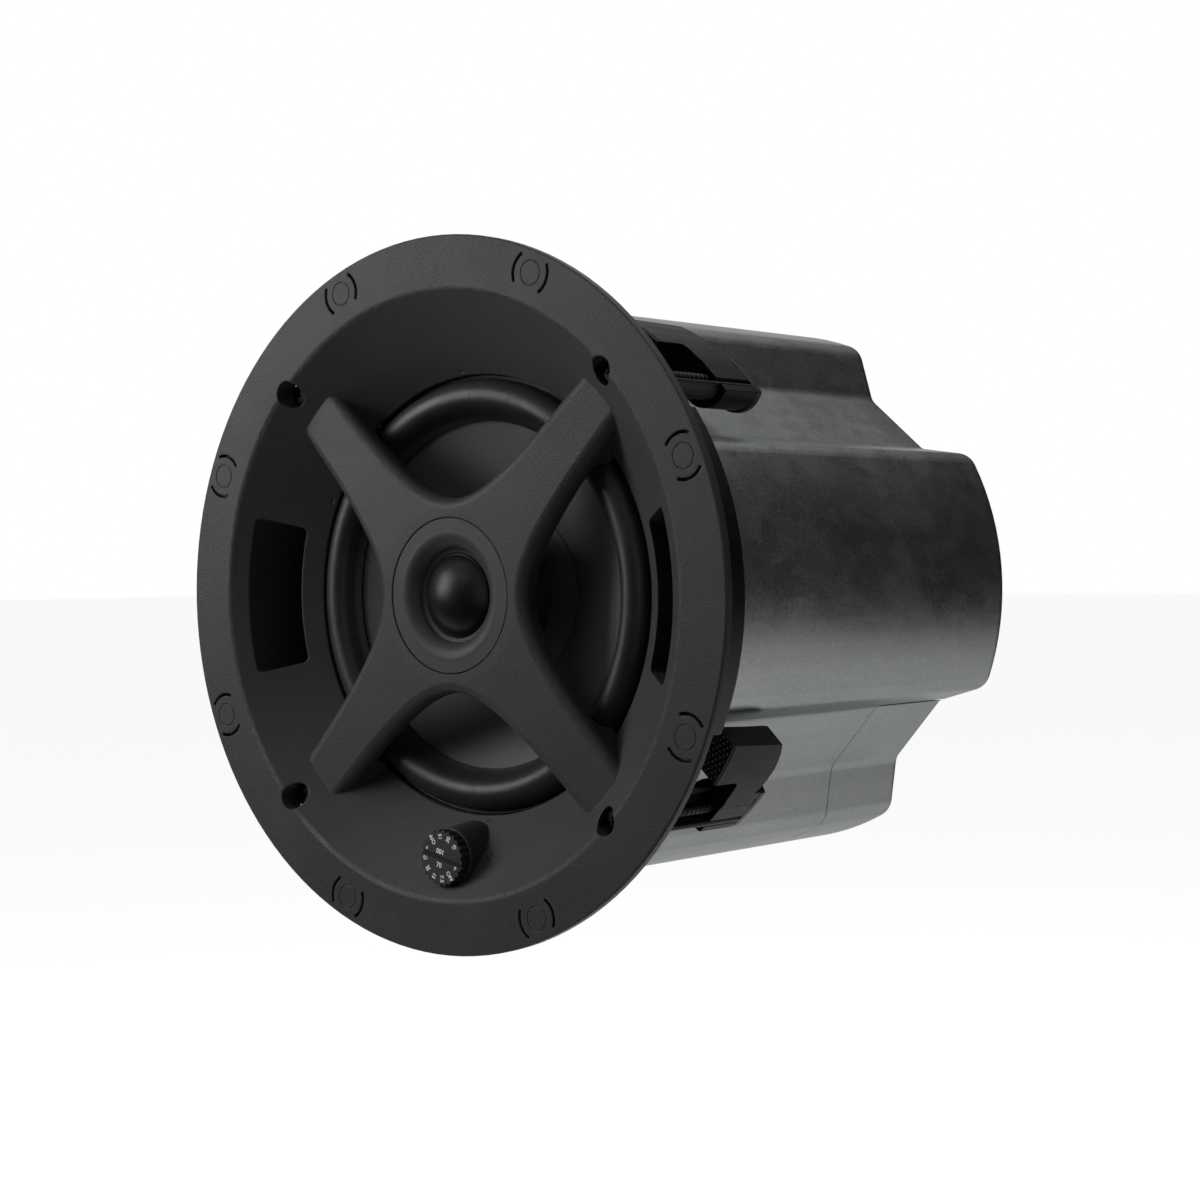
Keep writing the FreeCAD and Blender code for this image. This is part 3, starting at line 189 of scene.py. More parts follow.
def spark_grain(s, base, rough, grain, pitted):
    """The fine grain of a spark-eroded mould, with mottling, worn edges and dust: tone and blotch for
    further mixing, then color, roughness and height."""
    fine = s.noise(grain, 3.0, 0.6)
    pits = s.cells(pitted)
    blotch = s.noise(45.0, 3.0, 0.5)
    dust = s.noise(1100.0, 2.0, 0.7)
    tone = s.math("ADD", s.spread(blotch, 0.0, 0.4), s.spread(fine, 0.0, 0.6))
    color = s.mix(tone, grey(base * 0.84, COOL), grey(base * 1.16, COOL))
    color = s.mix(s.math("MULTIPLY", s.edge_wear(0.0007), 0.2), color, grey(base * 2.2, COOL))
    color = s.mix(s.fit(dust, 0.7, 0.8, 0.0, 0.15), color, grey(base * 1.9, COOL))
    roughness = s.math("ADD", s.spread(blotch, rough - 0.05, rough + 0.03), s.spread(fine, -0.03, 0.05))
    height = s.math("ADD", fine, s.math("MULTIPLY", pits, 0.7))
    return tone, blotch, color, roughness, height


def spark_plastic(name, base, rough, grain=1500.0, depth=0.00006):
    """Moulded plastic with a fine spark-eroded grain."""
    s = Surface(name, specular=0.15)
    _, _, color, roughness, height = spark_grain(s, base, rough, grain, grain * 0.7)
    return s.done(color, roughness, s.bump(height, depth, s.round_edges(0.0004)))


def front_moulding(name, base, rough, side_base, side_rough):
    """The baffle: grained where it shows in the room, smooth and darker on the collar and towers behind."""
    s = Surface(name, specular=0.12)
    x, y, z = s.parts()
    behind = s.fit(y, 0.0004, 0.0012, 0.0, 1.0)
    radius = s.math("SQRT", s.math("ADD", s.math("MULTIPLY", x, x), s.math("MULTIPLY", z, z)))
    along, _, upward = s.facing()
    outward = s.math("ADD", s.math("MULTIPLY", along, x), s.math("MULTIPLY", upward, z))
    outside = s.math("MULTIPLY", s.fit(s.math("DIVIDE", outward, radius), 0.2, 0.4, 0.0, 1.0),
                     s.fit(radius, 0.0985, 0.0995, 0.0, 1.0))
    side = s.math("MULTIPLY", behind, outside)
    tone, blotch, color, grained, height = spark_grain(s, base, rough, 2300.0, 1600.0)
    smooth = s.mix(tone, grey(side_base * 0.8), grey(side_base * 1.2))
    polished = s.spread(blotch, side_rough - 0.04, side_rough + 0.04)
    keep = s.math("SUBTRACT", 1.0, side)
    roughness = s.math("ADD", s.math("MULTIPLY", grained, keep), s.math("MULTIPLY", polished, side))
    height = s.math("MULTIPLY", height, s.fit(side, 0.0, 1.0, 1.0, 0.12))
    return s.done(s.mix(side, color, smooth), roughness, s.bump(height, 0.00007, s.round_edges(0.0008)))


def gloss_plastic(name, base, rough, specular=0.3):
    """Satin moulded plastic with faint flow lines and scuffs."""
    s = Surface(name, specular=specular)
    flow = s.noise(60.0, 4.0, 0.5, 0.6, s.stretched(1.0, 0.25, 1.0))
    scuff = s.noise(420.0, 5.0, 0.7, 0.2, s.stretched(1.0, 0.12, 1.0))
    fine = s.noise(1800.0, 2.0, 0.5)
    color = s.mix(flow, grey(base * 0.8), grey(base * 1.25))
    color = s.mix(s.math("MULTIPLY", s.edge_wear(0.0006), 0.3), color, grey(base * 2.5))
    roughness = s.math("ADD", s.fit(scuff, 0.45, 0.75, rough, rough + 0.12),
                       s.spread(flow, -0.03, 0.03))
    return s.done(color, roughness, s.bump(fine, 0.000004, s.round_edges(0.0004)))


def soft_rubber(name, base, rough, grain=1500.0, depth=0.000015, specular=0.4):
    """Rubber: a soft bloom, fine grain and a little dust."""
    s = Surface(name, specular=specular)
    fine = s.noise(grain, 3.0, 0.6)
    bloom = s.noise(70.0, 4.0, 0.6, 0.4)
    lint = s.noise(700.0, 3.0, 0.8)
    color = s.mix(bloom, grey(base * 0.8, COOL), grey(base * 1.2, COOL))
    color = s.mix(s.fit(lint, 0.68, 0.8, 0.0, 0.25), color, grey(base * 3.0))
    roughness = s.math("ADD", s.spread(bloom, rough - 0.06, rough + 0.06), s.spread(fine, -0.03, 0.03))
    height = s.math("ADD", fine, s.math("MULTIPLY", bloom, 2.0))
    return s.done(color, roughness, s.bump(height, depth, s.round_edges(0.0003)))


def weave(name, dark, light, pitch, rough, depth, tint=(1.0, 1.0, 1.0), sheen=0.2, specular=0.25):
    """Woven cloth or felt: two crossing thread waves broken up by noise."""
    s = Surface(name, specular=specular, Sheen_Weight=sheen, Sheen_Roughness=0.6)
    x, _, z = s.parts()
    one = s.math("SINE", s.math("MULTIPLY", x, 2 * math.pi / pitch))
    two = s.math("SINE", s.math("MULTIPLY", z, 2 * math.pi / pitch))
    threads = s.fit(s.math("MULTIPLY", one, two), -1.0, 1.0, 0.0, 1.0)
    fuzz = s.noise(2.2 / pitch, 3.0, 0.7)
    blotch = s.noise(50.0, 4.0, 0.6)
    tone = s.math("ADD", s.math("MULTIPLY", threads, 0.45), s.math("MULTIPLY", fuzz, 0.55))
    color = s.mix(tone, grey(dark, tint), grey(light, tint))
    color = s.mix(s.fit(blotch, 0.35, 0.65, 0.0, 0.35), color, grey(dark * 1.2, tint))
    roughness = s.spread(fuzz, rough - 0.06, rough + 0.06)
    return s.done(color, roughness, s.bump(tone, depth))


def pulp(name, base, rough):
    """Pressed paper pulp with fibres."""
    s = Surface(name, specular=0.1)
    fibre = s.noise(520.0, 6.0, 0.75, 1.2)
    fine = s.noise(2400.0, 2.0, 0.6)
    blotch = s.noise(60.0, 3.0, 0.5)
    tone = s.math("ADD", s.math("MULTIPLY", fibre, 0.6), s.math("MULTIPLY", blotch, 0.4))
    color = s.mix(tone, grey(base * 0.75, COOL), grey(base * 1.3, COOL))
    color = s.mix(s.fit(fibre, 0.66, 0.8, 0.0, 0.4), color, grey(base * 2.2, COOL))
    roughness = s.spread(fibre, rough - 0.08, rough + 0.08)
    height = s.math("ADD", s.math("MULTIPLY", fibre, 1.5), fine)
    return s.done(color, roughness, s.bump(height, 0.00003, s.round_edges(0.0003)))


def galvanised(name, base, rough):
    """Zinc-coated sheet: faint spangle, fine speckle, drawing lines along the can and handling scuffs."""
    s = Surface(name, metallic=1.0)
    s.shader.inputs["Specular Tint"].default_value = (0.55, 0.56, 0.57, 1.0)
    spangle = s.parts(s.cells(170.0, s.stretched(1.0, 0.6, 1.0), output="Color"))[0]
    cloud = s.noise(22.0, 4.0, 0.55, 0.5)
    speckle = s.noise(1300.0, 3.0, 0.75)
    drawn = s.noise(240.0, 4.0, 0.65, 0.0, s.stretched(1.0, 0.02, 1.0))
    scuff = s.noise(160.0, 6.0, 0.75, 0.3, s.stretched(1.0, 0.25, 1.0))
    tone = s.math("ADD", s.spread(cloud, 0.1, 0.35), s.spread(drawn, 0.0, 0.14))
    tone = s.math("ADD", tone, s.math("MULTIPLY", spangle, 0.14))
    tone = s.math("ADD", tone, s.fit(speckle, 0.35, 0.65, -0.3, 0.45))
    color = s.mix(tone, grey(base * 0.76, (0.95, 1.0, 1.0)), grey(base * 1.22, (0.98, 1.0, 1.0)))
    color = s.mix(s.fit(scuff, 0.64, 0.82, 0.0, 0.22), color, grey(base * 0.55, (1.0, 1.0, 0.97)))
    roughness = s.math("ADD", s.spread(cloud, rough - 0.02, rough + 0.03),
                       s.spread(speckle, -0.05, 0.06))
    roughness = s.math("ADD", roughness, s.math("MULTIPLY", spangle, 0.03))
    height = s.math("ADD", s.math("MULTIPLY", cloud, 0.5), s.math("MULTIPLY", speckle, 0.7))
    height = s.math("ADD", height, s.math("MULTIPLY", drawn, 0.5))
    return s.done(color, roughness, s.bump(height, 0.00002, s.round_edges(0.0004)))


def plated(name, base, rough, tint=(1.0, 1.0, 1.0), depth=0.00001):
    """Plated or machined steel and copper with turning marks."""
    s = Surface(name, metallic=1.0)
    fine = s.noise(1300.0, 4.0, 0.7)
    stain = s.noise(120.0, 5.0, 0.65, 0.6)
    color = s.mix(stain, grey(base * 0.75, tint), grey(base * 1.2, tint))
    color = s.mix(s.math("MULTIPLY", s.edge_wear(0.0005), 0.4), color, grey(min(base * 1.6, 0.9), tint))
    roughness = s.math("ADD", s.spread(stain, rough - 0.06, rough + 0.1), s.spread(fine, -0.04, 0.06))
    return s.done(color, roughness, s.bump(fine, depth, s.round_edges(0.00025)))


def grainy(name, color_a, color_b, rough, scale=600.0, depth=0.00003, specular=0.4):
    """A plain coloured surface with its own grain, for the pieces inside."""
    s = Surface(name, specular=specular)
    fine = s.noise(scale, 5.0, 0.7)
    blotch = s.noise(scale / 9.0, 3.0, 0.5)
    tone = s.math("ADD", s.math("MULTIPLY", fine, 0.55), s.math("MULTIPLY", blotch, 0.45))
    color = s.mix(tone, (*color_a, 1.0), (*color_b, 1.0))
    roughness = s.spread(fine, rough - 0.07, rough + 0.07)
    return s.done(color, roughness, s.bump(fine, depth, s.round_edges(0.0003)))


finish = {
    "baffle_plastic": front_moulding("baffle_grain", 0.034, 0.46, 0.004, 0.4),
    "tweeter_face_plastic": spark_plastic("tweeter_face_grain", 0.03, 0.47, grain=2300.0, depth=0.00003),
    "knob_plastic": spark_plastic("knob_grain", 0.024, 0.5, depth=0.00003),
    "duct_plastic": spark_plastic("duct_grain", 0.018, 0.5),
    "clamp_plastic": gloss_plastic("clamp_gloss", 0.005, 0.4, 0.06),
    "clamp_pad_rubber": soft_rubber("pad_rubber", 0.008, 0.6, specular=0.15),
    "surround_rubber": soft_rubber("surround_rubber_bloom", 0.014, 0.42, specular=0.2),
    "gasket_foam": soft_rubber("gasket_foam_cells", 0.02, 0.85, grain=900.0, depth=0.0001),
    "bush_rubber": soft_rubber("bush_rubber_bloom", 0.02, 0.5),
    "can_steel": galvanised("galvanised_sheet", 0.235, 0.33),
    "screw_steel": plated("screw_black_zinc", 0.01, 0.48),
    "motor_steel": plated("motor_zinc", 0.4, 0.32, (1.0, 0.98, 0.9)),
    "magnet_nickel": plated("magnet_nickel_plate", 0.5, 0.2, (1.0, 0.97, 0.92)),
    "coil_copper": plated("enamelled_copper", 0.5, 0.3, (1.0, 0.55, 0.32), 0.00002),
    "magnet_ferrite": grainy("ferrite_grain", (0.03, 0.03, 0.032), (0.06, 0.06, 0.063), 0.6, 900.0),
    "basket_paint": grainy("basket_powder_coat", (0.018, 0.018, 0.02), (0.03, 0.03, 0.032), 0.45,
                           1400.0),
    "cone_pulp": pulp("cone_pulp_fibre", 0.08, 0.6),
    "dome_silk": weave("dome_silk_weave", 0.003, 0.007, 0.0004, 0.38, 0.00001, COOL,
                       sheen=0.0, specular=0.17),
    "spider_cloth": weave("spider_cloth_weave", 0.35, 0.6, 0.0008, 0.8, 0.00012, (1.0, 0.76, 0.4)),
    "former_paper": grainy("former_paper_fibre", (0.4, 0.26, 0.13), (0.58, 0.4, 0.22), 0.7),
    "wadding_fibre": weave("wadding_fibre_mat", 0.55, 0.85, 0.003, 0.95, 0.0012, (1.0, 1.0, 0.97),
                           sheen=0.4),
    "board_laminate": grainy("board_laminate_glass", (0.03, 0.14, 0.05), (0.06, 0.2, 0.08), 0.4, 1200.0),
    "capacitor_film": grainy("capacitor_film_wrap", (0.4, 0.07, 0.04), (0.52, 0.12, 0.07), 0.3, 500.0),
    "core_laminate": grainy("core_varnish", (0.1, 0.1, 0.105), (0.2, 0.2, 0.21), 0.5, 800.0),
    "winding_tape": grainy("winding_tape_film", (0.6, 0.46, 0.1), (0.75, 0.6, 0.18), 0.3, 300.0),
    "terminal_plastic": grainy("terminal_green", (0.05, 0.25, 0.12), (0.09, 0.33, 0.17), 0.45, 900.0),
}


def dress(piece, material):
    piece.data.materials.clear()
    piece.data.materials.append(material)


for part in frame["record"]["subparts"]:
    dress(nodes[part["node"]], finish[part["material_slot"]])


# Pieces made here

def add_piece(name, mesh, slot, body=None, skin=None):
    """Links a mesh as a piece, with the finish of a record slot or a skin of its own, and the body that it
    rides on.
    """
    piece = bpy.data.objects.new(name, mesh)
    bpy.context.scene.collection.objects.link(piece)
    dress(piece, skin or finish[slot])
    if body:
        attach(piece, body)
    return piece


def new_piece(name, points, faces, slot, body=None, smooth=True):
    """A piece from its points, in metres, and its faces."""
    mesh = bpy.data.meshes.new(name)
    mesh.from_pydata([tuple(p) for p in points], [], faces)
    mesh.validate()
    mesh.update()
    if smooth:
        mesh.shade_smooth()
    return add_piece(name, mesh, slot, body)


def sharp(piece, angle=38.0):
    """Shades edges sharp where their faces meet at more than an angle."""
    piece.data.set_sharp_from_angle(angle=math.radians(angle))
    return piece


def outwards(mesh):
    """Turns a mesh's faces outwards."""
    form = bmesh.new()
    form.from_mesh(mesh)
    bmesh.ops.recalc_face_normals(form, faces=form.faces)
    form.to_mesh(mesh)
    form.free()
    return mesh


def with_modifiers(body):
    """An object's mesh as its modifiers or its curve give it."""
    bpy.context.view_layer.update()
    return bpy.data.meshes.new_from_object(body.evaluated_get(bpy.context.evaluated_depsgraph_get()))


def bar_faces(stations, closed):
    """Faces of a bar with four points a station: front inner, front outer, back inner, back outer."""
    faces = []
    for k in range(stations if closed else stations - 1):
        a = 4 * k
        b = 4 * ((k + 1) % stations)
        faces += [(a, b, b + 1, a + 1), (a + 2, a + 3, b + 3, b + 2), (a, a + 2, b + 2, b),
                  (a + 1, b + 1, b + 3, a + 3)]
    if not closed:
        end = 4 * (stations - 1)
        faces += [(0, 1, 3, 2), (end, end + 2, end + 3, end + 1)]
    return faces


def turned_sector(name, profile, angle0, angle1, steps, slot):
    """A closed profile of (radius, y) in millimetres revolved between two angles about the axis, capped."""
    points = []
    faces = []
    count = len(profile)
    for k in range(steps + 1):
        a = math.radians(angle0 + (angle1 - angle0) * k / steps)
        for radius, y in profile:
            points.append((radius * MM * math.cos(a), y * MM, radius * MM * math.sin(a)))
    for k in range(steps):
        for i in range(count):
            j = (i + 1) % count
            faces.append((k * count + i, (k + 1) * count + i, (k + 1) * count + j, k * count + j))
    faces.append(tuple(range(count)))
    faces.append(tuple(reversed(range(steps * count, (steps + 1) * count))))
    return sharp(new_piece(name, points, faces, slot))


def curve_through(corners, steps):
    """A smooth line through the given points."""
    found = []
    ends = [corners[0]] + list(corners) + [corners[-1]]
    for i in range(1, len(ends) - 2):
        for k in range(steps):
            t = k / steps
            spot = []
            for axis in range(2):
                a, b, c, d = (ends[i + n][axis] for n in (-1, 0, 1, 2))
                spot.append(0.5 * (2 * b + (c - a) * t + (2 * a - 5 * b + 4 * c - d) * t * t
                                   + (3 * b - a - 3 * c + d) * t ** 3))
            found.append(tuple(spot))
    found.append(tuple(corners[-1]))
    return found


sector_count = 24
sector_steps = 10


def ring_of_sectors(name, profile, slot, node):
    """A ring of a flexible part in sectors, each the profile turned through its share of the circle, in place
    of a node that is hidden.
    """
    wide = 360.0 / sector_count
    for k in range(sector_count):
        piece = turned_sector("%s_%02d" % (name, k + 1), profile, wide * k, wide * (k + 1), sector_steps,
                              slot)
        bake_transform(piece)
        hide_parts(node)


# Woofer: the rubber roll and the corrugated spider, which stretch between the basket and the cone

roll_seat = 21.3
roll_front = curve_through([
    (77.2, roll_seat), (76.5, roll_seat), (76.2, 20.75), (75.8, 20.7), (75.45, 21.15), (75.05, 20.7),
    (74.6, 18.7), (73.3, 16.9), (71.3, 15.5), (68.9, 15.0), (66.6, 15.5), (64.7, 17.0), (63.4, 19.0),
    (62.4, 20.6), (61.5, 21.6), (60.6, 22.35)], 4)
roll_back = curve_through([
    (60.6, 22.8), (61.6, 22.4), (62.9, 21.4), (64.1, 19.3), (65.2, 17.5), (67.0, 16.2), (68.9, 15.7),
    (71.0, 16.2), (72.8, 17.4), (74.0, 19.1), (74.4, 20.9), (74.9, 22.0), (77.2, 22.0)], 4)
ring_of_sectors("surround_roll", roll_front + roll_back, "surround_rubber", "woofer_surround")

spider_inner = 17.6
spider_outer = 41.0
spider_flat = 2.5
spider_level = 46.6
spider_lift = 0.9
spider_thick = 0.6
spider_waves = 4
spider_front = [(spider_inner, spider_level)]
spider_steps = 12 * spider_waves
for k in range(spider_steps + 1):
    at = k / spider_steps
    spider_front.append((spider_inner + spider_flat + (spider_outer - spider_inner - 2 * spider_flat) * at,
                         spider_level - spider_lift * math.sin(2 * math.pi * spider_waves * at)))
spider_front.append((spider_outer, spider_level))
spider_line = list(reversed(spider_front)) + [(r, y + spider_thick) for r, y in spider_front]
ring_of_sectors("spider_web", spider_line,
                "spider_cloth", "spider")


# Screws: crowned heads with a cross recess, the clamps' with a thread

def screw_mesh(name, head, thick, crown, shank, length, cross, pitch=0.0, thread=0.0):
    """A screw along +Y in millimetres with its head's seat at y 0 and a cross recess of a half length, a half
    width and a depth cut out of the head. One with a pitch has a thread of a depth."""
    around = 32
    cross_turn = 20.0
    rings = []
    for k in range(5):
        a = math.pi / 2 * k / 4
        rings.append((head - crown + crown * math.sin(a), -thick + crown * (1 - math.cos(a)), 0.0))
    rings.append((head, 0.0, 0.0))
    rings.append((shank, 0.0, 0.0))
    tip = 1.2
    thread_start = 0.6
    if pitch:
        levels = int((length - tip) / (pitch / 8))
        for k in range(levels + 1):
            y = thread_start + (length - tip - thread_start) * k / levels
            rings.append((shank, y, thread * min(1.0, k / 8)))
        rings.append((shank - thread - 0.3, length, 0.0))
    else:
        rings.append((shank, length, 0.0))
    points = [(0.0, -thick * MM, 0.0)]
    for radius, y, cut in rings:
        for k in range(around):
            a = 2 * math.pi * k / around
            r = radius
            if cut:
                phase = (y / pitch - k / around) % 1.0
                r -= cut * min(1.0, max(0.0, 1.5 - abs(2.0 * phase - 1.0) * 3.0))
            points.append((r * MM * math.cos(a), y * MM, r * MM * math.sin(a)))
    points.append((0.0, length * MM, 0.0))
    faces = []
    for k in range(around):
        n = (k + 1) % around
        faces.append((0, 1 + k, 1 + n))
        for level in range(len(rings) - 1):
            low = 1 + level * around
            high = low + around
            faces.append((low + k, high + k, high + n, low + n))
        last = 1 + (len(rings) - 1) * around
        faces.append((last + k, len(points) - 1, last + n))
    mesh = bpy.data.meshes.new(name)
    mesh.from_pydata(points, [], faces)
    body = bpy.data.objects.new(name, mesh)
    bpy.context.scene.collection.objects.link(body)
    long, wide, deep = cross
    bits = bmesh.new()
    for quarter in (0, 90):
        made = bmesh.ops.create_cube(bits, size=1.0)["verts"]
        bmesh.ops.scale(bits, vec=(2 * long * MM, 2 * deep * MM, 2 * wide * MM), verts=made)
        for v in made:
            if v.co.y > 0:
                v.co.x *= 0.6
                v.co.z *= 0.7
        bmesh.ops.rotate(bits, verts=made, cent=(0, 0, 0),
                         matrix=Matrix.Rotation(math.radians(quarter + cross_turn), 3, "Y"))
        bmesh.ops.translate(bits, verts=made, vec=(0, -thick * MM, 0))
    cutter_mesh = bpy.data.meshes.new(name + "_cross")
    bits.to_mesh(cutter_mesh)
    bits.free()
    cutter = bpy.data.objects.new(name + "_cross", cutter_mesh)
    bpy.context.scene.collection.objects.link(cutter)
    cut = body.modifiers.new("cross", "BOOLEAN")
    cut.operation = "DIFFERENCE"
    cut.solver = "EXACT"
    cut.use_self = True
    cut.object = cutter
    cut_mesh = with_modifiers(body)
    bpy.data.objects.remove(body)
    bpy.data.objects.remove(cutter)
    return cut_mesh


def screws(name, mesh, places, slot, body):
    """One piece made of a screw at each place, a place being the seat's matrix in metres."""
    joined = bmesh.new()
    for place in places:
        before = len(joined.verts)
        joined.from_mesh(mesh)
        joined.verts.ensure_lookup_table()
        bmesh.ops.transform(joined, matrix=place, verts=joined.verts[before:])
    out = bpy.data.meshes.new(name)
    joined.to_mesh(out)
    joined.free()
    out.shade_smooth()
    return sharp(add_piece(name, out, slot, body), 32.0)


clamps = range(1, 5)
clamp_head_thick = 2.8
clamp_head_turn = -40.0
for k in clamps:
    low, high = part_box("clamp_screw_%d" % k)
    seat = Vector(((low[0] + high[0]) / 2, low[1] + clamp_head_thick * MM, (low[2] + high[2]) / 2))
    turned = Matrix.Rotation(math.radians(clamp_head_turn * k), 4, "Y")
    mesh = screw_mesh("clamp_screw_form_%d" % k, head=3.8, thick=clamp_head_thick, crown=0.9, shank=2.0,
                      length=high[1] / MM - low[1] / MM - clamp_head_thick, cross=(1.9, 0.45, 1.6), pitch=2.4,
                      thread=0.38)
    piece = screws("clamp_thread_%d" % k, mesh, [Matrix.Translation(seat) @ turned], "screw_steel",
                   "clamp_screw_body_%d" % k)
    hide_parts("clamp_screw_%d" % k)

pan = {"head": 2.8, "thick": 1.6, "crown": 0.6, "shank": 1.45, "cross": (1.6, 0.4, 1.0)}
pan_head = screw_mesh("pan_head_form", length=4.6, **pan)
can_screw_level = 23.0
can_screw_first = 49.0
can_floor = 85.0
places = []
for k in range(4):
    out = math.radians(can_screw_first + 90.0 * k)
    direction = Vector((math.cos(out), 0.0, math.sin(out)))
    place = (direction * can_floor + Vector((0, can_screw_level, 0))) * MM
    places.append(Matrix.Translation(place) @ (-direction).to_track_quat("Y", "Z").to_matrix().to_4x4())
piece = screws("can_pan_heads", pan_head, places, "screw_steel", "root")
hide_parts("can_screws")

half_over = Matrix.Rotation(math.radians(180.0), 4, "X")
cover_head = screw_mesh("cover_head_form", length=6.0, **pan)
cover_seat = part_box("cover_screws")[1][1] / MM - pan["thick"]
cover_screw_spots = ((-44.0, -59.17), (50.0, -52.6))
places = [Matrix.Translation(Vector((x, cover_seat, z)) * MM) @ half_over for x, z in cover_screw_spots]
piece = screws("cover_pan_heads", cover_head, places, "screw_steel", "root")
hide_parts("cover_screws")

# The woofer's screws are shorter than their holes. A plug closes each hole where it meets the funnel's face,
# which is a cone: funnel_level is its depth at the screws' circle.
woofer_head_thick = 1.8
woofer_head = screw_mesh("woofer_head_form", head=2.5, thick=woofer_head_thick, crown=0.6, shank=1.45,
                         length=4.1, cross=(1.5, 0.4, 1.0))
woofer_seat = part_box("woofer_screws")[1][1] / MM - woofer_head_thick
woofer_screw_circle = 79.2
woofer_screw_first = 34.0
funnel_slope = 0.7847
funnel_level = 16.46
plug_radius = 1.56
plug_front = 17.28
plug_length = 1.3
plug_sunk = 0.01
places = []
plugs = bmesh.new()
for k in range(6):
    out = math.radians(woofer_screw_first + 60.0 * k)
    direction = Vector((math.cos(out), 0.0, math.sin(out)))
    spot = direction * woofer_screw_circle
    places.append(Matrix.Translation((spot + Vector((0, woofer_seat, 0))) * MM) @ half_over)
    plug = bmesh.new()
    middle = (spot + Vector((0, plug_front + plug_length / 2, 0))) * MM
    bmesh.ops.create_cone(plug, cap_ends=True, segments=24, radius1=plug_radius * MM,
                          radius2=plug_radius * MM, depth=plug_length * MM,
                          matrix=Matrix.Translation(middle) @ Matrix.Rotation(math.radians(90.0), 4, "X"))
    cut = bmesh.ops.bisect_plane(plug, geom=plug.verts[:] + plug.edges[:] + plug.faces[:],
                                 plane_co=(spot + Vector((0, funnel_level + plug_sunk, 0))) * MM,
                                 plane_no=direction * funnel_slope + Vector((0, 1, 0)), clear_inner=True)
    rim = [found for found in cut["geom_cut"] if isinstance(found, bmesh.types.BMEdge)]
    bmesh.ops.contextual_create(plug, geom=rim)
    plug_mesh = bpy.data.meshes.new("plug_%d" % k)
    plug.to_mesh(plug_mesh)
    plug.free()
    plugs.from_mesh(plug_mesh)
    bpy.data.meshes.remove(plug_mesh)
piece = screws("woofer_pan_heads", woofer_head, places, "screw_steel", "root")
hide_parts("woofer_screws")
plug_mesh = bpy.data.meshes.new("woofer_hole_plugs")
plugs.to_mesh(plug_mesh)
plugs.free()
add_piece("woofer_hole_plugs", plug_mesh, "baffle_plastic", "root")


# Clamp arms and pads, in millimetres about the clamp's own screw: x out from the speaker's axis, z to the
# side. Radii of curved plates are about the speaker's axis.

screw_circle = 102.5
envelope_radius = 106.4
wing_inner_radius = 95.4
tip_slant = 1.5
tip_from_side = 25.0
tip_side = 31.0
chamfer_side = 28.0
chamfer = 3.0
wing_front = 41.0
wing_depth = 27.5


def clamp_place(index):
    """From a clamp's own frame to the speaker's."""
    angle = math.radians(45.0 + 90.0 * (index - 1))
    return Matrix.Rotation(-angle, 4, "Y") @ Matrix.Translation(Vector((screw_circle * MM, 0.0, 0.0)))


def arc_height(side, a, b, c):
    """Height at a side length of the circle through three points of (side, height)."""
    d = 2 * (a[0] * (b[1] - c[1]) + b[0] * (c[1] - a[1]) + c[0] * (a[1] - b[1]))
    sq = [p[0] ** 2 + p[1] ** 2 for p in (a, b, c)]
    cx = (sq[0] * (b[1] - c[1]) + sq[1] * (c[1] - a[1]) + sq[2] * (a[1] - b[1])) / d
    cy = (sq[0] * (c[0] - b[0]) + sq[1] * (a[0] - c[0]) + sq[2] * (b[0] - a[0])) / d
    radius = math.hypot(a[0] - cx, a[1] - cy)
    return cy + math.sqrt(max(0.0, radius ** 2 - (side - cx) ** 2))


def tip_share(side):
    """0 up to where the wing's end starts to slant, 1 at its tip."""
    return max(0.0, (side - tip_from_side) / (tip_side - tip_from_side))


def curved_plate(name, inner, outer, columns, low_y, high_y, notch_y=None, step_column=None, cut=chamfer):
    """A plate between two radii about the speaker's axis. Before step_column it starts at low_y's height,
    from there on it also fills the rows below notch_y down to its own low_y."""
    under = 5 if notch_y is not None else 0
    rows = under + 10
    points = []
    index = {}
    for face in (0, 1):
        for j, side in enumerate(columns):
            full = step_column is None or j >= step_column
            for i in range(0 if full else under, rows + 1):
                top = high_y(side - tip_slant * tip_share(side))
                if i <= under and under:
                    base = low_y(side)
                    y = base + (notch_y - base) * i / under if full else base
                else:
                    start = (notch_y if full else low_y(side)) if under else low_y(side)
                    y = start + (top - start) * (i - under) / (rows - under)
                s = side - tip_slant * (y - wing_front) / wing_depth * tip_share(side)
                radius = outer if face else inner
                x = math.sqrt(radius ** 2 - s ** 2) - screw_circle
                if not face:
                    x += cut * max(0.0, (side - chamfer_side) / (tip_side - chamfer_side))
                index[face, j, i] = len(points)
                points.append((x * MM, y * MM, s * MM))
    faces = []
    last = len(columns) - 1
    for j in range(last):
        first = 0 if step_column is None or j >= step_column else under
        for i in range(first, rows):
            quad = [(j, i), (j, i + 1), (j + 1, i + 1), (j + 1, i)]
            faces.append([index[1, a, b] for a, b in quad])
            faces.append([index[0, a, b] for a, b in reversed(quad)])
        faces.append([index[0, j, first], index[1, j, first], index[1, j + 1, first], index[0, j + 1, first]])
        faces.append([index[1, j, rows], index[0, j, rows], index[0, j + 1, rows], index[1, j + 1, rows]])
    walls = [(0, under if step_column else 0, rows, False), (last, 0, rows, True)]
    if step_column:
        walls.append((step_column, 0, under, False))
    for j, start, end, flip in walls:
        for i in range(start, end):
            quad = [index[0, j, i], index[0, j, i + 1], index[1, j, i + 1], index[1, j, i]]
            faces.append(quad if flip else list(reversed(quad)))
    mesh = bpy.data.meshes.new(name)
    mesh.from_pydata(points, [], faces)
    mesh.validate()
    return outwards(mesh)


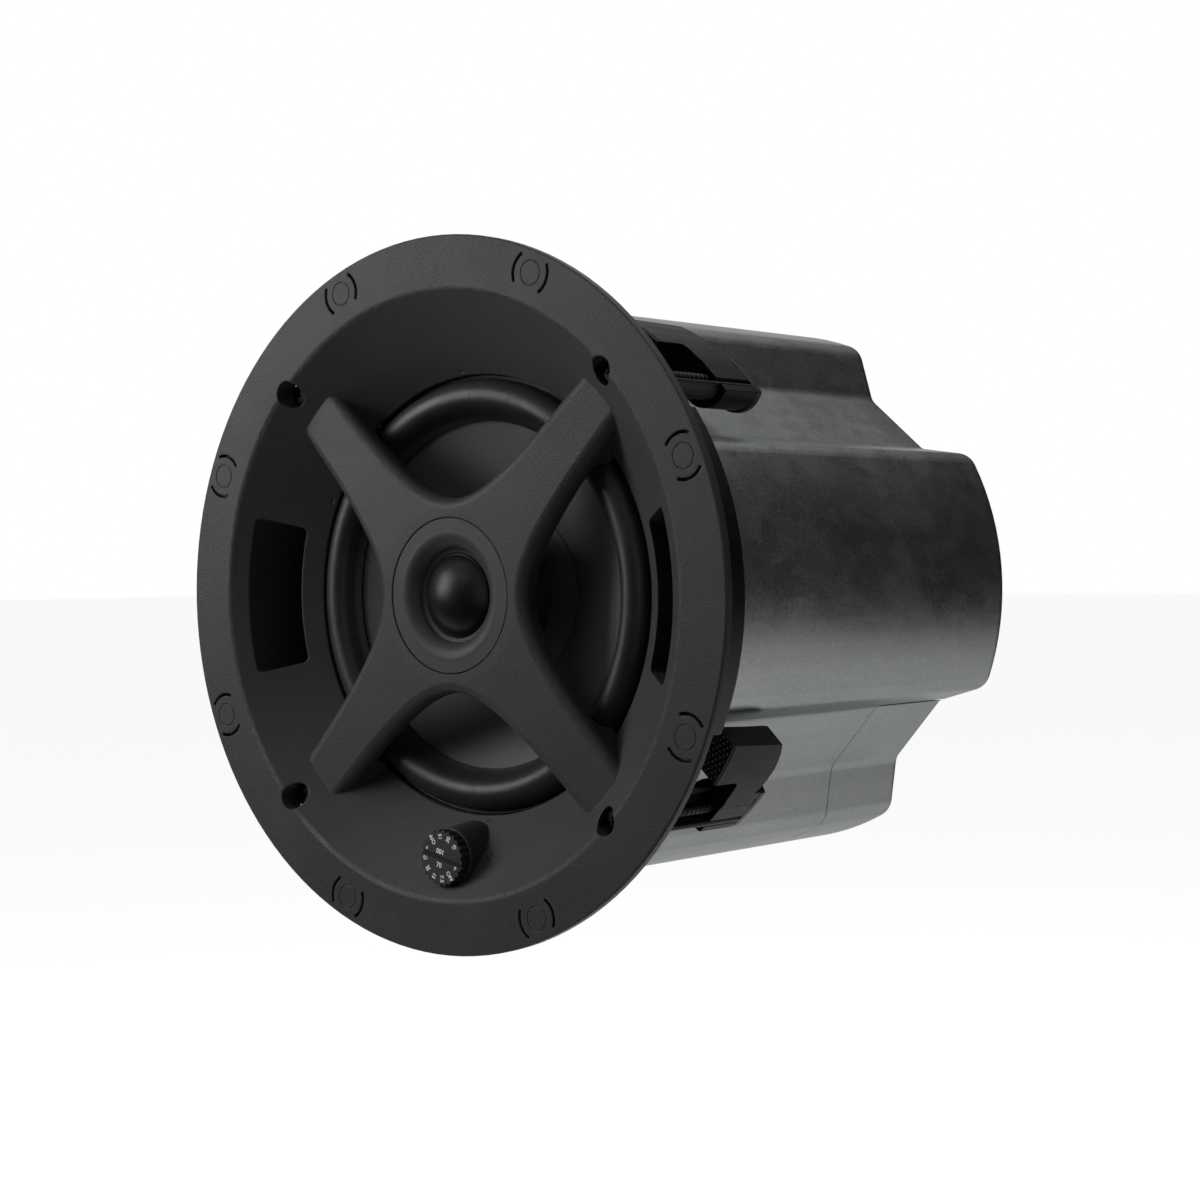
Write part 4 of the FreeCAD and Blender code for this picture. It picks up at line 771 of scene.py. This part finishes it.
def tube_sector(name, inner, outer, from_angle, to_angle, y0, y1):
    """A tube about the clamp's screw, or part of one."""
    whole = to_angle - from_angle >= 359.9
    steps = max(8, int((to_angle - from_angle) / 5))
    stations = steps if whole else steps + 1
    points = []
    for k in range(stations):
        a = math.radians(from_angle + (to_angle - from_angle) * k / steps)
        for y in (y0, y1):
            for radius in (inner, outer):
                points.append((radius * MM * math.cos(a), y * MM, radius * MM * math.sin(a)))
    mesh = bpy.data.meshes.new(name)
    mesh.from_pydata(points, [], bar_faces(stations, whole))
    return outwards(mesh)


def solid_of(steps):
    """Joins, cuts or keeps what is common of a list of (operation, mesh) and returns one mesh."""
    objects = []
    for operation, mesh in steps:
        one = bpy.data.objects.new(mesh.name, mesh)
        bpy.context.scene.collection.objects.link(one)
        objects.append(one)
    for (operation, mesh), one in zip(steps[1:], objects[1:]):
        step = objects[0].modifiers.new(mesh.name, "BOOLEAN")
        step.operation = operation
        step.solver = "EXACT"
        step.object = one
    result = with_modifiers(objects[0])
    for one in objects:
        bpy.data.objects.remove(one)
    return result


sleeve_front = 54.0
sleeve_back = 72.5
notch = 2.0
wing_root = 15.2
wing_back = ((7.8, 68.0), (20.0, 71.5), (29.5, 68.5))
nut_bore = 3.36
core_radius = 4.9
sleeve_inner = 7.3
sleeve_outer = 9.6
neck_inner = 4.4
neck_outer = 7.9
neck_sunk = 0.4
neck_angles = (40.0, 121.0)
pad_front = 39.8
pad_inset = 0.2
pad_root = 15.4
pad_width = 15.4
pad_steps = 10


def wing_low(side):
    """Front edge of the wing: the sleeve's front, then a rounded notch, then the wing's own front."""
    if side <= wing_root - notch:
        return sleeve_front
    if side < wing_root:
        return sleeve_front - notch + math.sqrt(max(0.0, notch ** 2 - (side - wing_root + notch) ** 2))
    return wing_front


def wing_high(side):
    """Back edge of the wing, an arc."""
    return arc_height(side, *wing_back)


wing_columns = [7.8, 9.5, 11.4, 13.2, 13.8, 14.4, 14.8, 15.05, 15.2]
step_column = len(wing_columns) - 1
wing_columns += [16.8, 18.5, 20.2, 21.9, 23.5, 25.0, 26.5, 28.0, 29.5, 31.0]
wing_form = curved_plate("wing_form", wing_inner_radius, envelope_radius, wing_columns, wing_low, wing_high,
                         sleeve_front - notch, step_column)
keep_inside = curved_plate("keep_inside", 70.0, envelope_radius, [-12.0 + 1.5 * k for k in range(17)],
                           lambda side: sleeve_front - 5.0, lambda side: sleeve_back + 5.0, cut=0.0)
sleeve_form = tube_sector("sleeve_form", sleeve_inner, sleeve_outer, 0.0, 360.0, sleeve_front, sleeve_back)
core_form = tube_sector("core_form", nut_bore, core_radius, 0.0, 360.0, sleeve_front, sleeve_back)
neck_form = tube_sector("neck_form", neck_inner, neck_outer, *neck_angles, sleeve_front + neck_sunk,
                        sleeve_back - neck_sunk)
arm_form = solid_of([("", sleeve_form), ("UNION", neck_form), ("UNION", core_form),
                     ("INTERSECT", keep_inside), ("UNION", wing_form)])
pad_columns = [pad_root + pad_width * k / pad_steps for k in range(pad_steps + 1)]
pad_form = curved_plate("pad_form", wing_inner_radius + pad_inset, envelope_radius - pad_inset, pad_columns,
                        lambda side: pad_front, lambda side: wing_front)


def riding_form(name, form, index, slot, node, bevel):
    """A copy of a form in a clamp's frame, set in its place on that clamp's arm."""
    mesh = form.copy()
    mesh.transform(clamp_place(index))
    mesh.shade_smooth()
    piece = add_piece(name, mesh, slot, "clamp_arm_body_%d" % index)
    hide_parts(node)
    edge = piece.modifiers.new("edges", "BEVEL")
    edge.width = bevel * MM
    edge.segments = 2
    edge.limit_method = "ANGLE"
    edge.angle_limit = math.radians(35.0)
    sharp(piece, 35.0)


dot_radius = 0.32
dot_first_side = 16.4
dot_row_step = 1.5
dot_first_radius = 96.6
dot_step = 1.9
dot_outer_margin = 0.9
dot_inner_margin = 1.2


def dots_form():
    """Staggered rows of small domes, half sunk in the pad's front face, clear of its rim and chamfer."""
    form = bmesh.new()
    for row in range(10):
        side = dot_first_side + dot_row_step * row
        for column in range(6):
            radius = dot_first_radius + dot_step * (column + (row % 2) * 0.5)
            if radius > envelope_radius - dot_outer_margin:
                continue
            clear = wing_inner_radius + dot_inner_margin + side - chamfer_side + 1
            if side > chamfer_side - 1 and radius < clear:
                continue
            x = math.sqrt(radius ** 2 - side ** 2) - screw_circle
            made = bmesh.ops.create_uvsphere(form, u_segments=12, v_segments=8,
                                             radius=dot_radius * MM)["verts"]
            bmesh.ops.translate(form, verts=made, vec=(x * MM, pad_front * MM, side * MM))
    mesh = bpy.data.meshes.new("dots_form")
    form.to_mesh(mesh)
    form.free()
    return mesh


pad_dot_skin = soft_rubber("pad_dot_rubber", 0.12, 0.5, specular=0.3)
dots = dots_form()
for k in clamps:
    riding_form("arm_%d" % k, arm_form, k, "clamp_plastic", "clamp_arm_%d" % k, bevel=0.25)
    riding_form("pad_%d" % k, pad_form, k, "clamp_pad_rubber", "clamp_pad_%d" % k, bevel=0.15)
    mesh = dots.copy()
    mesh.transform(clamp_place(k))
    mesh.shade_smooth()
    add_piece("pad_dots_%d" % k, mesh, "clamp_pad_rubber", "clamp_arm_body_%d" % k, pad_dot_skin)


# Floors in the sixteen arc slots, which are blind in the real flange

magnet_count = 8
magnet_first = 22.5
magnet_circle = 114.9
slot_middle = 7.5
slot_half_width = 0.56
slot_half_angle = 41.5
slot_floor = -0.8
slot_steps = 18
for k in range(magnet_count):
    way = magnet_first + 45.0 * k
    centre = (magnet_circle * math.cos(math.radians(way)), magnet_circle * math.sin(math.radians(way)))
    for n, quarter in enumerate((90.0, 270.0)):
        points = []
        for i in range(slot_steps + 1):
            a = math.radians(way + quarter - slot_half_angle + 2 * slot_half_angle * i / slot_steps)
            for y in (slot_floor, 0.0):
                for radius in (slot_middle - slot_half_width, slot_middle + slot_half_width):
                    points.append(((centre[0] + radius * math.cos(a)) * MM, y * MM,
                                   (centre[1] + radius * math.sin(a)) * MM))
        new_piece("slot_floor_%d_%d" % (k + 1, n + 1), points, bar_faces(slot_steps + 1, closed=False),
                  "baffle_plastic", "root", smooth=False)


# Tweeter: the dome with its thin edge bead, and a dark ring behind its gap that paints the shade there

dome_edge = 14.0
dome_base = 8.0
dome_apex = 1.45
dome_ball = (dome_edge ** 2 + (dome_base - dome_apex) ** 2) / (2 * (dome_base - dome_apex))


def revolved(name, line, slot, body, steps=128):
    """A closed line of (radius, y) in millimetres turned full circle about the speaker's axis."""
    points = []
    faces = []
    count = len(line)
    for k in range(steps):
        a = 2 * math.pi * k / steps
        for radius, y in line:
            points.append((radius * MM * math.cos(a), y * MM, radius * MM * math.sin(a)))
    for k in range(steps):
        n = (k + 1) % steps
        for i in range(count):
            j = (i + 1) % count
            faces.append((k * count + i, n * count + i, n * count + j, k * count + j))
    mesh = bpy.data.meshes.new(name)
    mesh.from_pydata(points, [], faces)
    tidy = bmesh.new()
    tidy.from_mesh(mesh)
    bmesh.ops.remove_doubles(tidy, verts=tidy.verts, dist=1e-7)
    bmesh.ops.dissolve_degenerate(tidy, edges=tidy.edges, dist=1e-8)
    bmesh.ops.recalc_face_normals(tidy, faces=tidy.faces)
    tidy.to_mesh(mesh)
    tidy.free()
    mesh.shade_smooth()
    return sharp(add_piece(name, mesh, slot, body), 40.0)


dome_line = []
dome_steps = 24
for k in range(dome_steps + 1):
    radius = 13.9 * k / dome_steps
    dome_line.append((radius, dome_apex + dome_ball - math.sqrt(dome_ball ** 2 - radius ** 2)))
dome_line += [(14.0, 7.75), (14.15, 7.65), (14.32, 7.72), (14.4, 7.95), (14.4, 8.3), (13.8, 8.3),
              (13.6, 8.1), (0.0, dome_apex + 0.6)]
piece = revolved("dome_form", dome_line, "dome_silk", "tweeter_dome_body")
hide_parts("tweeter_dome")
# Painted shade: a dark ring behind the dome's gap hides the lit parts behind it, so the gap looks shaded.
revolved("dome_gap_shade_ring", [(13.0, 8.74), (14.69, 8.74), (14.69, 8.88), (13.0, 8.88)], "clamp_plastic",
         "root")


# The pointer beside the selector: a fine dark line let into the funnel's face

pointer = [Vector((11.52, 8.44, -88.65)), Vector((14.22, 6.73, -90.47)), Vector((14.36, 9.18, -87.29))]
pointer_up = Vector((-0.09, -0.79, 0.61)).normalized()
pointer_half_width = 0.14
pointer_overrun = 0.1
pointer_proud = 0.03
pointer_sunk = -0.3
for n in range(2):
    a, b = pointer[n], pointer[n + 1]
    wide = (b - a).normalized().cross(pointer_up) * pointer_half_width
    run = (b - a).normalized() * pointer_overrun
    points = []
    for spot in (a - run, b + run):
        for rise in (pointer_proud, pointer_sunk):
            for way in (-1, 1):
                points.append((spot + wide * way + pointer_up * rise) * MM)
    faces = [(0, 4, 5, 1), (2, 3, 7, 6), (0, 2, 6, 4), (1, 5, 7, 3), (0, 1, 3, 2), (4, 6, 7, 5)]
    new_piece("pointer_%d" % (n + 1), points, faces, "clamp_plastic", "root", smooth=False)


# The selector's printed scale

def printed(name, words, size, x, z, angle):
    """Flat print on the knob's face, read along the angle, in millimetres from the knob's centre."""
    curve = bpy.data.curves.new(name, "FONT")
    curve.body = words
    curve.size = size * MM
    curve.align_x = "CENTER"
    curve.align_y = "CENTER"
    curve.extrude = 0.015 * MM
    curve.offset = 0.05 * MM
    curve.space_character = 1.02
    text = bpy.data.objects.new(name, curve)
    bpy.context.scene.collection.objects.link(text)
    mesh = with_modifiers(text)
    bpy.data.objects.remove(text)
    low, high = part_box("selector_knob")
    face = Vector(((low[0] + high[0]) / 2, low[1] - 0.01 * MM, (low[2] + high[2]) / 2))
    place = (Matrix.Translation(face) @ Matrix.Translation(Vector((x, 0, z)) * MM)
             @ Matrix.Rotation(-math.radians(angle), 4, "Y") @ Matrix.Rotation(math.radians(90), 4, "X"))
    mesh.transform(place)
    add_piece(name, mesh, "knob_plastic", "selector_body", print_ink)


print_ink = grainy("print_ink", (0.6, 0.6, 0.6), (0.8, 0.8, 0.8), 0.5, 2600.0, 0.000004, 0.2)
scale = {32: "60", 62: "30", 92: "15", 122: "OFF", 152: "8", 182: "60", 212: "30", 242: "15", 272: "7.5",
         302: "OFF", 332: "8"}
scale_radius = 7.2
scale_size = 2.1
line_size = 2.4
line_turn = -13.5
for angle, words in scale.items():
    spin = math.radians(angle)
    printed("scale_%03d" % angle, words, scale_size, scale_radius * math.cos(spin),
            scale_radius * math.sin(spin), angle)
printed("scale_line_high", "100", line_size, -0.3, 2.2, 180.0 + line_turn)
printed("scale_line_low", "70", line_size, -1.0, -2.6, line_turn)


# Camera, with the place, the turn and the lens that were solved from the photo

camera_data = bpy.data.cameras.new("camera")
camera_data.lens = 70.465
camera_data.sensor_width = 36.0
camera_data.clip_start = 0.05
camera_data.clip_end = 100.0
camera = bpy.data.objects.new("camera", camera_data)
bpy.context.scene.collection.objects.link(camera)
right = Vector((0.77483369, 0.63208917, -0.00979979))
forward = Vector((-0.63215959, 0.77466888, -0.01619787))
up = Vector((-0.00264691, 0.01874569, 0.99982078))
turn = Matrix((right, up, -forward)).transposed().to_4x4()
camera_spot = Vector((0.548807, -0.587008, 0.011078))
camera.matrix_world = Matrix.Translation(camera_spot) @ turn
bpy.context.scene.camera = camera


# Studio: a world and a floor that look white, three soft lamps, and dark cards that only gloss sees

world = bpy.data.worlds.new("studio")
bpy.context.scene.world = world
world.use_nodes = True
tree = world.node_tree
tree.nodes.clear()
paths = tree.nodes.new("ShaderNodeLightPath")
seen = paths.outputs["Is Camera Ray"]
for kind in ("Is Glossy Ray", "Is Transmission Ray"):
    higher = tree.nodes.new("ShaderNodeMath")
    higher.operation = "MAXIMUM"
    tree.links.new(seen, higher.inputs[0])
    tree.links.new(paths.outputs[kind], higher.inputs[1])
    seen = higher.outputs[0]
either = tree.nodes.new("ShaderNodeMixShader")
tree.links.new(seen, either.inputs[0])
ambient = (0.035, 0.036, 0.038, 1.0)
white = (1.0, 1.0, 1.0, 1.0)
for socket, color in ((either.inputs[1], ambient), (either.inputs[2], white)):
    background = tree.nodes.new("ShaderNodeBackground")
    background.inputs["Color"].default_value = color
    tree.links.new(background.outputs[0], socket)
world_out = tree.nodes.new("ShaderNodeOutputWorld")
tree.links.new(either.outputs[0], world_out.inputs[0])


def plain_sheet(name, corners, material):
    """A flat piece of the stage."""
    mesh = bpy.data.meshes.new(name)
    mesh.from_pydata(corners, [], [(0, 1, 2, 3)])
    sheet = bpy.data.objects.new(name, mesh)
    bpy.context.scene.collection.objects.link(sheet)
    mesh.materials.append(material)
    return sheet


floor_level = -0.5
floor_reach = 30.0
floor_glow = 0.92
paper = Surface("floor_paper", specular=0.0)
paper.shader.inputs["Emission Color"].default_value = white
rays = paper.add("LightPath")
shown = paper.math("MAXIMUM", rays.outputs["Is Camera Ray"], rays.outputs["Is Glossy Ray"])
shown = paper.math("MAXIMUM", shown, rays.outputs["Is Transmission Ray"])
paper.link(paper.math("MULTIPLY", shown, floor_glow), paper.shader.inputs["Emission Strength"])
floor_paper = paper.done(paper.mix(paper.noise(300.0, 3.0), grey(0.60), grey(0.64)), 0.9)
plain_sheet("floor", [(x * floor_reach, y * floor_reach, floor_level)
                      for x, y in ((-1, -1), (1, -1), (1, 1), (-1, 1))], floor_paper)

felt = Surface("dark_card", specular=0.0)
card_felt = felt.done(felt.mix(felt.noise(200.0), grey(0.04), grey(0.055)), 0.95)


def dark_card(name, corners):
    """A card that darkens what gloss mirrors and neither shows nor shades."""
    card = plain_sheet(name, corners, card_felt)
    card.visible_camera = False
    card.visible_shadow = False
    card.visible_diffuse = False


dark_card("card_right_back", [(-0.7, 1.7, -0.32), (2.6, 1.1, -0.32), (2.6, 1.1, 1.15), (-0.7, 1.7, 1.15)])
dark_card("card_front", [(-5.0, -2.6, -0.45), (1.6, -2.6, -0.45), (1.6, -2.6, 4.0), (-5.0, -2.6, 4.0)])
dark_card("card_left", [(-3.2, -2.6, -0.45), (-3.2, 0.5, -0.45), (-3.2, 0.5, 4.0), (-3.2, -2.6, 4.0)])
dark_card("card_low", [(-3.2, -2.6, -0.45), (1.0, -2.6, -0.45), (1.0, -0.2, -0.45), (-3.2, -0.2, -0.45)])


def soft_lamp(name, place, target, width, height, radiance):
    """A soft box, given by how bright its face is."""
    data = bpy.data.lights.new(name, "AREA")
    data.shape = "RECTANGLE"
    data.size = width
    data.size_y = height
    data.energy = radiance * math.pi * width * height
    lamp = bpy.data.objects.new(name, data)
    lamp.location = place
    lamp.rotation_mode = "QUATERNION"
    lamp.rotation_quaternion = (Vector(target) - Vector(place)).to_track_quat("-Z", "Y")
    lamp.visible_camera = False
    bpy.context.scene.collection.objects.link(lamp)


soft_lamp("lamp_front_left", (-0.6, -0.52, 0.26), (0, 0.03, 0), width=0.44, height=0.5, radiance=9.3)
soft_lamp("lamp_front_top", (-0.2, -1.6, 1.3), (0, 0.03, 0), width=1.2, height=0.8, radiance=1.8)
soft_lamp("lamp_top", (0.3, 0.35, 1.7), (0, 0.1, 0), width=1.4, height=1.0, radiance=3.4)

bpy.context.scene.view_settings.view_transform = "Standard"
